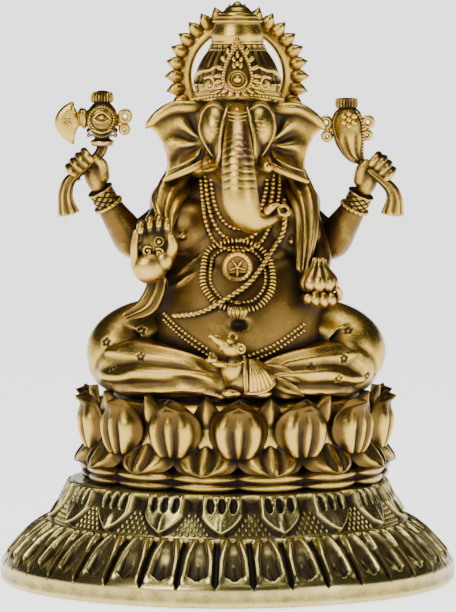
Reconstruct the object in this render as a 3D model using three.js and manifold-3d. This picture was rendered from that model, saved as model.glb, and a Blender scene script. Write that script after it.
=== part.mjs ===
// A seated elephant-headed deity figure, cast in brass, on a double lotus seat and a turned plinth.
// Millimetres, +Z up, the figure faces -Y. The origin is the middle of the face that it rests on.
// The castings are separate solids with a solder gap between them. Right and left are the deity's own.
import * as THREE from "three";
import { mergeVertices } from "three/addons/utils/BufferGeometryUtils.js";
import Module from "manifold-3d";

const wasm = await Module();
wasm.setup();

// Driving dimensions.
const PLINTH_RADIUS = 39.2;
const PLINTH_TOP = 17.8; // height of the face that the lotus stands on
const PAD_STANDS_PROUD = 0.4; // how far the pad reaches below the plinth's rim
const LOTUS_RADIUS = 27; // at the tips of the lower petals
const LOTUS_TOP = 32.6; // height of the seat
const PETALS = 14; // in each row
const PETAL_TURN = 1.2; // degrees from the front to the nearest upper petal
const FIGURE_SHIFT = 1.3; // the figure is fixed this far to the right of the plinth's axis
const GAP = 0.32; // between castings
const SCREW_RADIUS = 2;
const ARC_STEPS = 10; // sides of an ordinary round solid
const TURNED_SIDES = 40; // sides of the plinth and the pad
const DETAIL = 0.25; // edges and ripples smaller than this are smoothed away

// Materials.
const warmBrass = new THREE.MeshStandardMaterial({ color: 0xa9803c, roughness: 0.34, metalness: 1 });
const greenBrass = new THREE.MeshStandardMaterial({ color: 0x9a8a52, roughness: 0.4, metalness: 1 });
const steel = new THREE.MeshStandardMaterial({ color: 0xb4b6b8, roughness: 0.35, metalness: 1 });
const felt = new THREE.MeshStandardMaterial({ color: 0x1d1f1e, roughness: 0.95, metalness: 0 });

// Solids and how they join.

// A closed three.js geometry as a manifold-3d solid.
function solid(geometry) {
  const bare = geometry.index ? geometry.toNonIndexed() : geometry.clone();
  bare.deleteAttribute("normal");
  bare.deleteAttribute("uv");
  const merged = mergeVertices(bare, 1e-4);
  const corners = merged.index.array;
  const kept = [];
  for (let i = 0; i < corners.length; i += 3) {
    const [a, b, c] = corners.slice(i, i + 3);
    if (a !== b && b !== c && c !== a) kept.push(a, b, c);
  }
  return new wasm.Manifold(
    new wasm.Mesh({
      numProp: 3,
      vertProperties: new Float32Array(merged.attributes.position.array),
      triVerts: new Uint32Array(kept),
    }),
  );
}

// A solid as a three.js geometry again.
function geometryOf(made) {
  const mesh = made.getMesh();
  return new THREE.BufferGeometry()
    .setAttribute("position", new THREE.BufferAttribute(new Float32Array(mesh.vertProperties), 3))
    .setIndex(new THREE.BufferAttribute(new Uint32Array(mesh.triVerts), 1));
}

const join = (...solids) => solids.reduce((all, one) => all.add(one));

// The largest connected body of a solid that a cut has divided, without slivers.
function largest(made) {
  return made.simplify(DETAIL).decompose().sort((a, b) => b.volume() - a.volume())[0];
}

// Shapes. grow is added to every radius, which gives the space that a neighbour keeps out of.

// An ellipsoid with radii r, turned by Euler angles in degrees.
function blob(at, r, grow = 0, turn = [0, 0, 0], sides = ARC_STEPS) {
  const angles = turn.map(THREE.MathUtils.degToRad);
  const place = new THREE.Matrix4().compose(
    new THREE.Vector3(...at),
    new THREE.Quaternion().setFromEuler(new THREE.Euler(...angles)),
    new THREE.Vector3(...r.map((x) => x + grow)),
  );
  return solid(new THREE.SphereGeometry(1, sides, Math.ceil(sides * 0.6)).applyMatrix4(place));
}

// A capsule bent along a curve through points. radii holds a radius for each point, or a pair:
// the half width across the curve and its reference direction, and the half thickness along it.
function limb(points, radii, grow = 0, { sides = 8, steps = 8, thick = [0, 1, 0] } = {}) {
  const curve = new THREE.CatmullRomCurve3(points.map((p) => new THREE.Vector3(...p)));
  const pairs = radii.map((r) => (Array.isArray(r) ? r : [r, r]));
  const geometry = new THREE.CapsuleGeometry(1, steps, 2, sides, steps);
  const spots = geometry.attributes.position;
  const reference = new THREE.Vector3(...thick);
  for (let i = 0; i < spots.count; i++) {
    const v = new THREE.Vector3().fromBufferAttribute(spots, i);
    const along = THREE.MathUtils.clamp(v.y, -steps / 2, steps / 2);
    const t = along / steps + 0.5;
    const slot = Math.min(t * (pairs.length - 1), pairs.length - 1 - 1e-9);
    const [low, share] = [Math.floor(slot), slot - Math.floor(slot)];
    const [wide, deep] = [0, 1].map(
      (k) => pairs[low][k] * (1 - share) + pairs[low + 1][k] * share + grow,
    );
    const tangent = curve.getTangent(t);
    const across = new THREE.Vector3().crossVectors(tangent, reference).normalize();
    const through = new THREE.Vector3().crossVectors(across, tangent).normalize();
    const beyond = (v.y - along) * Math.min(wide, deep);
    const spot = curve
      .getPoint(t)
      .addScaledVector(across, -v.x * wide)
      .addScaledVector(through, v.z * deep)
      .addScaledVector(tangent, beyond);
    spots.setXYZ(i, spot.x, spot.y, spot.z);
  }
  return outward(geometry);
}

// The same faces, turned to face the other way.
function flipped(geometry) {
  const turned = geometry.clone();
  const order = turned.index.array;
  for (let i = 0; i < order.length; i += 3) {
    [order[i + 1], order[i + 2]] = [order[i + 2], order[i + 1]];
  }
  return turned;
}

// A closed geometry as a solid, whichever way its faces turn.
function outward(geometry) {
  const made = solid(geometry);
  return made.volume() < 0 ? solid(flipped(geometry)) : made;
}

// A turned solid about a vertical axis. profile runs from bottom to top as [radius, height].
function turned(profile, at = [0, 0], grow = 0, sides = 24) {
  const last = profile.length - 1;
  const points = profile.map(([r, z], i) => {
    const lift = i === 0 || profile[i][1] === profile[0][1] ? -grow : 0;
    const top = i === last || profile[i][1] === profile[last][1] ? grow : 0;
    return new THREE.Vector2(r === 0 ? 0 : r + grow, z + lift + top);
  });
  return solid(
    new THREE.LatheGeometry(points, sides).rotateX(Math.PI / 2).translate(at[0], at[1], 0),
  );
}

// A flat plate in the XZ plane, from y to y + thickness, with its outline through the given points.
function plate(outline, y, thickness, grow = 0, smooth = true) {
  const middle = outline.reduce((s, p) => [s[0] + p[0] / outline.length, s[1] + p[1] / outline.length], [0, 0]);
  const spread = outline.map(([x, z]) => {
    const away = new THREE.Vector2(x - middle[0], z - middle[1]);
    away.setLength(away.length() + grow);
    return new THREE.Vector2(middle[0] + away.x, middle[1] + away.y);
  });
  const shape = new THREE.Shape();
  shape.moveTo(spread[0].x, spread[0].y);
  if (smooth) shape.splineThru([...spread.slice(1), spread[0]]);
  else spread.slice(1).forEach((p) => shape.lineTo(p.x, p.y));
  const geometry = new THREE.ExtrudeGeometry(shape, {
    depth: thickness + 2 * grow,
    bevelEnabled: false,
    curveSegments: smooth ? outline.length * 2 : 1,
  });
  return solid(geometry.rotateX(Math.PI / 2).translate(0, y + thickness + grow, 0));
}

// A solid made for the figure's right side, as it is or mirrored to the left: side is -1 or 1.
const onSide = (side, made) => (side < 0 ? made : made.mirror([1, 0, 0]));

// Mirrors a point or a list of points across the figure's middle plane.
const across = (points) => points.map(([x, y, z]) => [-x, y, z]);

// The plinth and what fixes it. These stay clear of each other by their own sizes.

const BOSS_RADIUS = 5;
const BOSS_BOTTOM = 10;
const PLINTH_ROOF = 3; // thickness of the plinth's top
const PAD_RADIUS = PLINTH_RADIUS - 3;
const PAD_THICKNESS = 2;
const WASHER_THICKNESS = 0.8;
const SCREW_TOP = 25;

function plinth() {
  const rim = PAD_STANDS_PROUD;
  const bore = SCREW_RADIUS + 0.35;
  const outside = [
    [PLINTH_RADIUS - 0.5, rim],
    [PLINTH_RADIUS, rim + 0.6],
    [PLINTH_RADIUS, rim + 3.2],
    [PLINTH_RADIUS - 0.8, rim + 4.3],
    [PLINTH_RADIUS - 3.3, rim + 7],
    [PLINTH_RADIUS - 6.2, rim + 9.4],
    [PLINTH_RADIUS - 8.3, rim + 10.6],
    [PLINTH_RADIUS - 9.1, rim + 12.2],
    [PLINTH_RADIUS - 10.3, rim + 15],
    [PLINTH_RADIUS - 11.2, rim + 16.6],
    [PLINTH_RADIUS - 12.4, PLINTH_TOP],
  ];
  const inside = [
    [bore, PLINTH_TOP],
    [bore, BOSS_BOTTOM],
    [BOSS_RADIUS, BOSS_BOTTOM],
    [BOSS_RADIUS, PLINTH_TOP - PLINTH_ROOF],
    [PLINTH_RADIUS - 14.5, PLINTH_TOP - PLINTH_ROOF],
    [PLINTH_RADIUS - 11.5, rim + 10],
    [PLINTH_RADIUS - 5.5, rim + 4.5],
    [PLINTH_RADIUS - 5.5, rim + PAD_THICKNESS],
    [PLINTH_RADIUS - 2.5, rim + PAD_THICKNESS],
    [PLINTH_RADIUS - 2.5, rim],
  ];
  return ringSolid([...outside, ...inside], TURNED_SIDES);
}

// A turned solid whose closed profile doesn't touch the axis.
function ringSolid(profile, sides = 32, at = [0, 0]) {
  const points = [...profile, profile[0]].map(([r, z]) => new THREE.Vector2(r, z));
  return solid(
    new THREE.LatheGeometry(points, sides).rotateX(Math.PI / 2).translate(at[0], at[1], 0),
  );
}

function basePad() {
  return turned([[0, 0], [PAD_RADIUS, 0], [PAD_RADIUS, PAD_THICKNESS], [0, PAD_THICKNESS]], [0, 0], 0, TURNED_SIDES);
}

function washer() {
  const [low, high] = [BOSS_BOTTOM - GAP - WASHER_THICKNESS, BOSS_BOTTOM - GAP];
  const [bore, rim] = [SCREW_RADIUS + 0.35, BOSS_RADIUS - 0.4];
  return ringSolid([[bore, low], [rim, low], [rim, high], [bore, high]], 24);
}

function fixingScrew() {
  const seat = BOSS_BOTTOM - 2 * GAP - WASHER_THICKNESS;
  const headRadius = SCREW_RADIUS * 2;
  const body = turned(
    [
      [0, seat - 2.6],
      [headRadius - 0.8, seat - 2.6],
      [headRadius, seat - 1.6],
      [headRadius, seat],
      [SCREW_RADIUS, seat],
      [SCREW_RADIUS, SCREW_TOP - 0.6],
      [SCREW_RADIUS - 0.6, SCREW_TOP],
      [0, SCREW_TOP],
    ],
    [0, 0],
    0,
    20,
  );
  const slot = (x, y) =>
    solid(new THREE.BoxGeometry(x, y, 1.4).translate(0, 0, seat - 2.6 + 0.5));
  return body.subtract(slot(0.9, 4.4)).subtract(slot(4.4, 0.9));
}

// The lotus.

function lotusSeat(grow) {
  const seat = turned(
    [
      [0, PLINTH_TOP + GAP],
      [LOTUS_RADIUS - 4.4, PLINTH_TOP + GAP],
      [LOTUS_RADIUS - 5, 21],
      [LOTUS_RADIUS - 6, 24.6],
      [LOTUS_RADIUS - 5, 27.5],
      [LOTUS_RADIUS - 4.2, LOTUS_TOP],
      [0, LOTUS_TOP],
    ],
    [0, 0],
    grow,
    36,
  );
  const hole = turned(
    [[0, 0], [SCREW_RADIUS + GAP, 0], [SCREW_RADIUS + GAP, SCREW_TOP + 1], [0, SCREW_TOP + 1]],
    [-FIGURE_SHIFT, 0],
    0,
    20,
  );
  return seat.subtract(hole);
}

// A row of petals: a closed ring whose profile changes from the middle of a petal, [r, z], to
// the notch beside it, [r + dr, z + dz]. It grows away from the middle of its profile.
function petalRow(profile, grow, startDegrees) {
  const middle = [0, 1].map((k) => profile.reduce((sum, p) => sum + p[k], 0) / profile.length);
  const closed = [...profile, profile[0]];
  const points = closed.map(([r, z]) => new THREE.Vector2(r, z));
  const geometry = new THREE.LatheGeometry(points, 2 * PETALS);
  const spots = geometry.attributes.position;
  for (let column = 0; column <= 2 * PETALS; column++) {
    const angle = (column * Math.PI) / PETALS;
    closed.forEach(([r, z, dr = 0, dz = 0], row) => {
      const notch = column % 2;
      const out = r + dr * notch + grow * Math.sign(r - middle[0]);
      const up = z + dz * notch + grow * Math.sign(z - middle[1]);
      spots.setXYZ(column * closed.length + row, out * Math.sin(angle), -out * Math.cos(angle), up);
    });
  }
  return outward(geometry).rotate([0, 0, startDegrees]);
}

const lowerPetals = (grow) =>
  petalRow(
    [
      [LOTUS_RADIUS - 4, 18.12],
      [LOTUS_RADIUS - 0.6, 18.12],
      [LOTUS_RADIUS - 0.6, 19.9],
      [LOTUS_RADIUS, 20.5, -1.3, 0.5],
      [LOTUS_RADIUS - 0.9, 22.4, -1.2, -0.3],
      [LOTUS_RADIUS - 2.6, 24, -0.7, -0.4],
      [LOTUS_RADIUS - 5.2, 24],
      [LOTUS_RADIUS - 4.6, 21],
    ],
    grow,
    PETAL_TURN + 180 / PETALS,
  );

const upperPetals = (grow) =>
  petalRow(
    [
      [LOTUS_RADIUS - 2.3, 24.6],
      [LOTUS_RADIUS - 0.9, 28, -0.8, 0],
      [LOTUS_RADIUS - 0.2, 31, -1.5, -0.5],
      [LOTUS_RADIUS + 0.5, 34, -2.6, -3.6],
      [LOTUS_RADIUS - 0.6, 33.9, -2, -3.7],
      [LOTUS_RADIUS - 2.1, 29.6, -0.9, 0],
      [LOTUS_RADIUS - 4.5, 27.2],
      [LOTUS_RADIUS - 5.4, 24.6],
    ],
    grow,
    PETAL_TURN,
  );

const innerPetals = (grow) =>
  petalRow(
    [
      [LOTUS_RADIUS - 3.4, 29.9],
      [LOTUS_RADIUS - 2.7, 31.4, -0.3, 0],
      [LOTUS_RADIUS - 2.6, 33.9, -0.6, -1.3],
      [LOTUS_RADIUS - 3.3, 33.9, -0.2, -1.3],
      [LOTUS_RADIUS - 3.9, 30.6],
    ],
    grow,
    PETAL_TURN + 180 / PETALS,
  );

// A closed skin over ellipses, bottom to top: [height, middle x, half width, front y, back y].
function loft(rows, grow, sides = 18) {
  const sections = [rows[0], ...rows, rows.at(-1)];
  const last = sections.length - 1;
  const points = sections.map(([z], i) => new THREE.Vector2(i === 0 || i === last ? 0 : 1, z));
  const geometry = new THREE.LatheGeometry(points, sides);
  const spots = geometry.attributes.position;
  for (let i = 0; i < spots.count; i++) {
    const row = i % sections.length;
    const [z, middle, half, frontY, backY] = sections[row];
    const lift = row <= 1 ? -grow : row >= last - 1 ? grow : 0;
    const x = middle + spots.getX(i) * (half + grow);
    const y = (frontY + backY) / 2 + spots.getZ(i) * ((backY - frontY) / 2 + grow);
    spots.setXYZ(i, x, y, z + lift);
  }
  return outward(geometry);
}

// The body, and the breasts that are joined to it.
const BODY = [
  [33, 0.3, 11, -9, 10.6],
  [36, 0.5, 14.6, -15, 12.4],
  [40, 0.6, 16, -18, 12.9],
  [44, 0.7, 15.9, -18.7, 12.4],
  [48.5, 0.7, 15.4, -18, 11.3],
  [53, 0.7, 14.7, -15.6, 10.2],
  [57, 0.6, 14.3, -12.8, 9.4],
  [61, 0.6, 14, -10.6, 8.8],
  [65, 0.5, 12.8, -8.6, 7.9],
  [68, 0.5, 10, -7.2, 6.2],
  [70.4, 0.4, 7, -6.6, 3.8],
  [73, 0.4, 5.8, -7, 2],
];
const BREASTS = [
  [[-6.6, -6, 60], [6, 5.6, 5.2]],
  [[8, -6, 59.6], [6, 5.6, 5.2]],
];

const torso = (grow) => join(loft(BODY, grow), ...BREASTS.map(([at, r]) => blob(at, r, grow)));

// The y of the body's front at (x, z).
function front(x, z) {
  const above = Math.max(1, BODY.findIndex(([height]) => height > z));
  const share = (z - BODY[above - 1][0]) / (BODY[above][0] - BODY[above - 1][0]);
  const [, middle, half, frontY, backY] = BODY[above].map((v, i) => v * share + BODY[above - 1][i] * (1 - share));
  const bulge = Math.sqrt(Math.max(0, 1 - ((x - middle) / half) ** 2));
  const breasts = BREASTS.map(([[cx, cy, cz], [rx, ry, rz]]) => {
    const left = 1 - ((x - cx) / rx) ** 2 - ((z - cz) / rz) ** 2;
    return left > 0 ? cy - ry * Math.sqrt(left) : 0;
  });
  return Math.min((frontY + backY) / 2 - (bulge * (backY - frontY)) / 2, ...breasts);
}

// A cord of radius r that lies on the body's front through points [x, z].
function laid(points, r, grow, steps = 14, lift = 0.55) {
  const path = points.map(([x, z]) => [x, front(x, z) - r * lift - GAP, z]);
  return limb(path, path.map(() => r), grow, { sides: 6, steps });
}

const legSide = {
  right: [[-6, 3, 38.6], [-13, 0, 40.6], [-19.6, -6, 39.8], [-15, -14, 37.4], [-7, -19.4, 36], [0.6, -20.4, 34.9]],
  left: [[6, 3, 38.6], [13.4, 0, 40.6], [19.6, -6, 39.8], [15.4, -13.4, 37], [8, -18.2, 35.6], [2, -19.4, 34.9]],
};
const LEG_RADII = [5.6, 6.6, [6.2, 6.9], 4.2, 3.2, 2];

const leg = (side) => (grow) =>
  limb(legSide[side], LEG_RADII, grow, { sides: 14, steps: 14, thick: [0, 0, 1] });

const drape = (grow) =>
  join(
    limb([[3.4, -19.6, 37.4], [7, -20.6, 37.2], [10.4, -21, 35.6]], [1, 1.5, 0.6], grow, { steps: 4 }),
    limb([[3, -19.8, 35.6], [6, -21.6, 35.4], [9.4, -22.4, 34.1]], [1, 1.4, 0.5], grow, { steps: 4 }),
  );

// The head.

const head = (grow) =>
  join(
    blob([0.5, -6.2, 78.4], [6.9, 7.6, 7.2], grow, [0, 0, 0], 14),
    blob([-3.5, -10.8, 78], [2.5, 3.6, 5.3], grow),
    blob([4.6, -10.8, 78], [2.5, 3.6, 5.3], grow),
    blob([0.5, -9.2, 72.4], [4.9, 5.2, 4.2], grow),
  );

const trunk = (grow) =>
  limb(
    [
      [0.4, -13.8, 80.6],
      [0.4, -17.2, 77.2],
      [0.5, -19.6, 73],
      [0.7, -20.6, 68.6],
      [1.2, -20.6, 65.2],
      [3, -19.8, 63.3],
      [5.4, -18.8, 63.7],
      [7, -18.9, 64.4],
      [8.1, -19.8, 64.8],
    ],
    [1.7, 2.3, 2.8, 3, 2.9, 2.1, 1.2, 0.95, 1.05],
    grow,
    { sides: 14, steps: 18 },
  );

const tusk = (x) => (grow) =>
  limb([[x * 3.4 + 0.5, -13, 72.4], [x * 4.6 + 0.5, -16.4, 71.8], [x * 5.4 + 0.5, -18, 71.6]], [1, 0.9, 0.6], grow, {
    sides: 8,
    steps: 3,
  });

const EAR = [
  [-5.4, 81.4],
  [-7.4, 82.9],
  [-10.2, 82.7],
  [-12.8, 81.1],
  [-14.9, 78.9],
  [-13.6, 76.2],
  [-12.3, 72.8],
  [-12.2, 69],
  [-9, 70],
  [-5.2, 72],
];

const ear = (side) => (grow) =>
  plate(side < 0 ? EAR : EAR.map(([x, z]) => [0.3 - x, z - 0.2]), -4.4, 1.3, grow);

// The crown, the crest on its front and the ring behind it.
const CROWN = [0.4, -3.9];

const crownBand = (grow) =>
  turned(
    [[0, 83], [6.9, 83], [7.5, 83.4], [7.6, 84.6], [7.2, 85.4], [0, 85.4]],
    CROWN,
    grow,
    28,
  );

const crownDome = (grow) =>
  turned(
    [[0, 85.72], [7.1, 85.72], [6.9, 87], [6.3, 88.8], [5.1, 90.8], [4.3, 92], [4.1, 92.8], [0, 92.8]],
    CROWN,
    grow,
    24,
  );

const crownPot = (grow) =>
  turned(
    [
      [0, 93.12],
      [3.9, 93.12],
      [4.4, 93.9],
      [4.35, 94.9],
      [3.7, 96],
      [3.85, 96.4],
      [3, 96.9],
      [2.5, 98],
      [1.3, 99],
      [0.5, 99.5],
      [0.45, 99.8],
      [0, 100],
    ],
    CROWN,
    grow,
    20,
  );

const CREST = [[0, 0], [1.9, 0.7], [2.7, 2.6], [2.1, 5], [0.9, 7.4], [0, 9.1], [-0.9, 7.4], [-2.1, 5], [-2.7, 2.6], [-1.9, 0.7]];

const crest = (grow) =>
  plate(CREST, -0.5, 1, grow)
    .rotate([-17, 0, 0])
    .translate([CROWN[0], CROWN[1] - 8.5, 84.1]);

const HALO = { centre: [0.35, 87], y: 1, thick: 1.3, inner: 7.7, band: 9.3, belly: 10.7, tip: 12.1, flames: 30 };

function haloRing(grow) {
  const around = (count, radiusAt) =>
    Array.from({ length: count }, (_, i) => {
      const angle = (2 * Math.PI * i) / count;
      return new THREE.Vector2(radiusAt(i) * Math.sin(angle), radiusAt(i) * Math.cos(angle));
    });
  const flame = [HALO.tip, HALO.belly, HALO.band, HALO.belly];
  const shape = new THREE.Shape(around(4 * HALO.flames, (i) => flame[i % 4] + grow));
  shape.holes.push(new THREE.Path(around(HALO.flames, () => HALO.inner - grow).reverse()));
  const depth = HALO.thick + 2 * grow;
  const ring = new THREE.ExtrudeGeometry(shape, { depth, bevelEnabled: false })
    .rotateX(Math.PI / 2)
    .translate(HALO.centre[0], HALO.y + HALO.thick + grow, HALO.centre[1]);
  return solid(ring);
}

// The rear pair of arms and what they hold.
const REAR_ARM = [[-9.8, 3, 64], [-14, 2.4, 60.2], [-17, 0.8, 58.7], [-19.4, -1.4, 61.8], [-21.7, -2.9, 65.4]];
const REAR_BRACELET = [[-21.3, -2.8, 64.9], [-22.6, -3.6, 67.3]];

const rearArm = (side) => (grow) => onSide(side, limb(REAR_ARM, [3.5, 3.4, 3.2, 2.6, 1.9], grow, { steps: 7 }));

const rearBracelet = (side) => (grow) =>
  limb(side < 0 ? REAR_BRACELET : across(REAR_BRACELET), [2.5, 2.3], grow, { steps: 1, sides: 12 });

function rearHand(side) {
  const place = side < 0 ? (p) => p : across;
  const knuckles = [0, 1, 2, 3].map((i) => [-23.9 - i * 1.05, -6.4 + i * 0.1, 73 - i * 0.95]);
  return (grow) =>
    join(
      limb(place([[-23.2, -3.6, 67.8], [-24.2, -4.2, 70], [-24.6, -4.4, 71.6]]), [1.8, 2.1, 1.9], grow, { steps: 3 }),
      ...knuckles.map(([x, y, z]) =>
        limb(place([[x + 0.2, y + 2.4, z - 0.6], [x - 0.5, y, z - 0.2]]), [0.75, 0.72], grow, { sides: 7, steps: 1 }),
      ),
    );
}

function axe(grow) {
  const [x, y] = [-22.6, -5];
  const blade = [
    [-28.2, 83],
    [-29.7, 81.6],
    [-30.6, 79.4],
    [-29.8, 77.2],
    [-27.8, 75.6],
    [-27.2, 77.6],
    [-26.6, 79.3],
    [-27.2, 81],
  ];
  return join(
    turned(
      [[0, 75.8], [1.9, 75.8], [1.9, 76.6], [2.6, 77.2], [3.7, 79.2], [3.5, 81], [2, 82.6], [1.6, 83.2], [1.8, 84.5], [0, 84.7]],
      [x, y],
      grow,
      16,
    ),
    limb([[-25, y, 79.4], [-27.2, y, 79.4]], [1.3, 0.8], grow, { steps: 1 }),
    plate(blade, y - 0.4, 0.8, grow),
    limb([[-19.6, y, 79.4], [-18.6, y, 81.2]], [0.8, 1.1], grow, { steps: 1 }),
    limb([[-19.6, y, 79], [-18.9, y, 77.9]], [0.8, 1], grow, { steps: 1 }),
  );
}

function conch(grow) {
  const y = -5;
  return join(
    limb(
      [[18.9, y, 83.2], [19, y, 81.6], [19.1, y, 79.2], [19.8, y, 76.4], [20.7, y, 74.2], [21, y, 73.3]],
      [1.3, 2, 2.8, 2.2, 1.1, 0.5],
      grow,
      { steps: 9, sides: 12 },
    ),
    turned([[0, 83.4], [1.5, 83.4], [1.6, 84.4], [0, 84.4]], [18.9, y], grow, 12),
    limb([[17, y, 79.8], [15.6, y, 80.2]], [0.8, 1.1], grow, { steps: 1 }),
    limb([[17.2, y, 78.4], [16.2, y, 77.6]], [0.7, 0.9], grow, { steps: 1 }),
    limb([[21.2, y, 79.8], [22.4, y, 80.2]], [0.8, 1], grow, { steps: 1 }),
    limb([[21.2, y, 78.4], [22.3, y, 77.4]], [0.7, 0.9], grow, { steps: 1 }),
  );
}

const HANDLE = [[-22.5, -5, 75.4], [-23.2, -6, 73.6], [-25, -7.2, 71], [-27.6, -7.6, 69.2], [-28.9, -7, 67], [-28.7, -6.2, 64.2]];
const handle = (side) => (grow) =>
  limb(side < 0 ? HANDLE : across(HANDLE).map(([x, y, z]) => [x - 1.3, y, z - 2 * (z > 74)]), [0.9, 0.9, 0.9, 1, 1.1, [1.7, 1]], grow, {
    sides: 8,
    steps: 10,
  });

// The front pair of arms.
const FRONT_ARM = [[-10.4, -0.6, 63.8], [-13.4, -2.6, 58.6], [-14.8, -6.6, 55], [-14.6, -12, 54.2]];

const rightFrontArm = (grow) => limb(FRONT_ARM, [3.7, 3.4, 2.7, 2.3], grow, { steps: 8 });

const leftFrontArm = (grow) =>
  limb([[10.8, -0.6, 63.8], [12.8, -2.8, 59.8], [14.2, -6.8, 57], [14.8, -11.6, 55.8]], [3.4, 2.9, 2.3, 1.6], grow, { steps: 8 });

function rightFrontHand(grow) {
  const fingers = [-2.7, -0.9, 0.9, 2.6].map((x, i) => {
    const top = [61.7, 62.9, 63.2, 62.6][i];
    return limb([[-13.6 + x * 0.9, -14.8, 58], [-13.8 + x, -15.2, top]], [0.95, 0.8], grow, { sides: 7, steps: 1 });
  });
  return join(
    blob([-13.6, -14.6, 56], [3.5, 1.7, 4], grow),
    limb([[-11.2, -15, 55.4], [-10.2, -15.6, 58.8]], [1.1, 0.8], grow, { sides: 7, steps: 1 }),
    ...fingers,
  );
}

function leftFrontHand(grow) {
  const fingers = [-2.4, -0.8, 0.8, 2.4].map((x) =>
    limb([[14.4 + x * 0.9, -14.4, 49.4], [14.3 + x, -17, 50.4], [14.3 + x, -17.6, 51.4]], [0.85, 0.85, 0.7], grow, { sides: 7, steps: 2 }),
  );
  return join(blob([14.4, -13.8, 49.9], [3.2, 2.6, 1.7], grow), ...fingers);
}

const modak = (grow) =>
  turned([[0, 51.2], [2.2, 51.2], [3.2, 52.6], [3, 53.8], [1.6, 55.2], [0.9, 56.4], [1, 57], [0, 57]], [14.2, -14.6], grow, 14);

// Dress and ornaments.

const rightShawl = (grow) =>
  join(
    limb([[-8.6, -3.6, 69.6], [-11.6, -6, 66], [-12.4, -9.2, 62.4]], [[2.6, 1.3], [3.4, 1.3], [1.8, 1]], grow, { steps: 5 }),
  );

const rightShawlEnd = (grow) =>
  limb([[-14.6, -8.4, 52], [-15.6, -9, 49], [-18.4, -9, 46.4], [-20.6, -8.4, 45.4]], [[1.4, 1], [2, 1], [2, 1], [1, 0.8]], grow, {
    steps: 6,
  });

const leftShawl = (grow) =>
  limb([[9, -3.8, 70], [12, -6.4, 66.6], [14.2, -8.4, 61.4], [14, -9.6, 57]], [[2.6, 1.3], [3.2, 1.4], [2.8, 1.3], [2.2, 1]], grow, {
    steps: 8,
  });

const beadNecklace = (grow) =>
  laid([[-6.2, 67], [-5.6, 63], [-3.6, 59.8], [0.4, 58.4], [4.4, 59.8], [7.2, 63], [8, 67]], 0.75, grow);

const garland = (grow) =>
  laid([[-3.6, 57.6], [-5.8, 56], [-6.6, 52.4], [-5, 49.2], [-2.4, 47.8]], 0.85, grow, 8).add(
    laid([[-2.4, 47.8], [0.5, 47.2], [3.6, 47.8], [6.4, 50.2], [7.4, 54], [6, 57.2]], 0.85, grow, 8),
  );

const medallion = (grow) =>
  limb([[0.4, front(0.4, 56) - 1.1, 56], [0.4, front(0.4, 56) - 0.5, 56]], [2.5, 2.5], grow, { sides: 14, steps: 1, thick: [0, 0, 1] });

const sacredThread = (grow) => laid([[9.6, 62.8], [8.4, 59.4], [5.6, 56.2], [2.4, 53], [-3, 49.6], [-10.2, 47]], 0.6, grow);

const pendant = (grow) => blob([0.5, front(0.5, 47.4) - 1.9, 46.9], [1.8, 1.3, 1.6], grow, [0, 0, 0], 10);

const belt = (grow) =>
  laid([[-12.4, 45.4], [-9.4, 42.2], [-5, 39.4], [0.4, 38.6], [6, 39.6], [11, 42.4], [14, 45.4]], 0.75, grow);

function mouse(grow) {
  return join(
    blob([1.2, -22.4, 37.4], [3, 2.9, 3.6], grow, [0, -18, 0]),
    blob([-0.4, -23.6, 40.6], [1.9, 1.9, 2.4], grow),
    blob([-1, -24.2, 42.8], [2.2, 1.7, 1.7], grow, [0, 24, 0]),
    limb([[-2.2, -24.6, 43.3], [-4, -25, 44]], [1.1, 0.4], grow, { steps: 1, sides: 8 }),
    blob([0.6, -24, 43], [0.8, 0.6, 0.8], grow, [0, 0, 0], 8),
    limb([[-1, -24.8, 40], [-3, -25, 39.6]], [0.7, 0.5], grow, { steps: 1, sides: 7 }),
    limb([[-0.6, -24.2, 37.6], [-0.8, -24.6, 34]], [0.8, 0.7], grow, { steps: 1, sides: 7 }),
  );
}

const mouseSweet = (grow) => blob([-3.9, -25, 41.2], [1.2, 1.1, 1.2], grow, [0, 0, 0], 9);

// Every casting of the figure. One further down the list is cut back from those above it that it meets.
const castings = [
  ["lotus_seat", lotusSeat],
  ["lotus_lower_petals", lowerPetals],
  ["lotus_upper_petals", upperPetals],
  ["lotus_inner_petals", innerPetals],
  ["torso", torso],
  ["right_leg", leg("right")],
  ["left_leg", leg("left")],
  ["dhoti_pleats", drape],
  ["head", head],
  ["trunk", trunk],
  ["right_tusk", tusk(-1)],
  ["left_tusk", tusk(0.85)],
  ["right_ear", ear(-1)],
  ["left_ear", ear(1)],
  ["crown_band", crownBand],
  ["crown_dome", crownDome],
  ["crown_finial", crownPot],
  ["crown_crest", crest],
  ["halo_ring", haloRing],
  ["right_rear_arm", rearArm(-1)],
  ["left_rear_arm", rearArm(1)],
  ["right_rear_bracelet", rearBracelet(-1)],
  ["left_rear_bracelet", rearBracelet(1)],
  ["axe", axe],
  ["conch", conch],
  ["axe_handle", handle(-1)],
  ["conch_ribbon", handle(1)],
  ["right_rear_hand", rearHand(-1)],
  ["left_rear_hand", rearHand(1)],
  ["right_front_hand", rightFrontHand],
  ["right_front_arm", rightFrontArm],
  ["modak", modak],
  ["left_front_hand", leftFrontHand],
  ["left_front_arm", leftFrontArm],
  ["medallion", medallion],
  ["pendant", pendant],
  ["sacred_thread", sacredThread],
  ["bead_necklace", beadNecklace],
  ["garland", garland],
  ["right_shawl", rightShawl],
  ["right_shawl_end", rightShawlEnd],
  ["left_shawl", leftShawl],
  ["mouse", mouse],
  ["mouse_sweet", mouseSweet],
  ["belt_chain", belt],
];

function named(name, made, material, group) {
  const mesh = new THREE.Mesh(geometryOf(made), material);
  mesh.name = name;
  group.add(mesh);
}

const statue = new THREE.Group();
named("plinth", plinth(), greenBrass, statue);
named("base_pad", basePad(), felt, statue);
named("washer", washer(), steel, statue);
named("fixing_screw", fixingScrew(), steel, statue);

const figure = new THREE.Group();
figure.position.x = FIGURE_SHIFT;
statue.add(figure);

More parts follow.
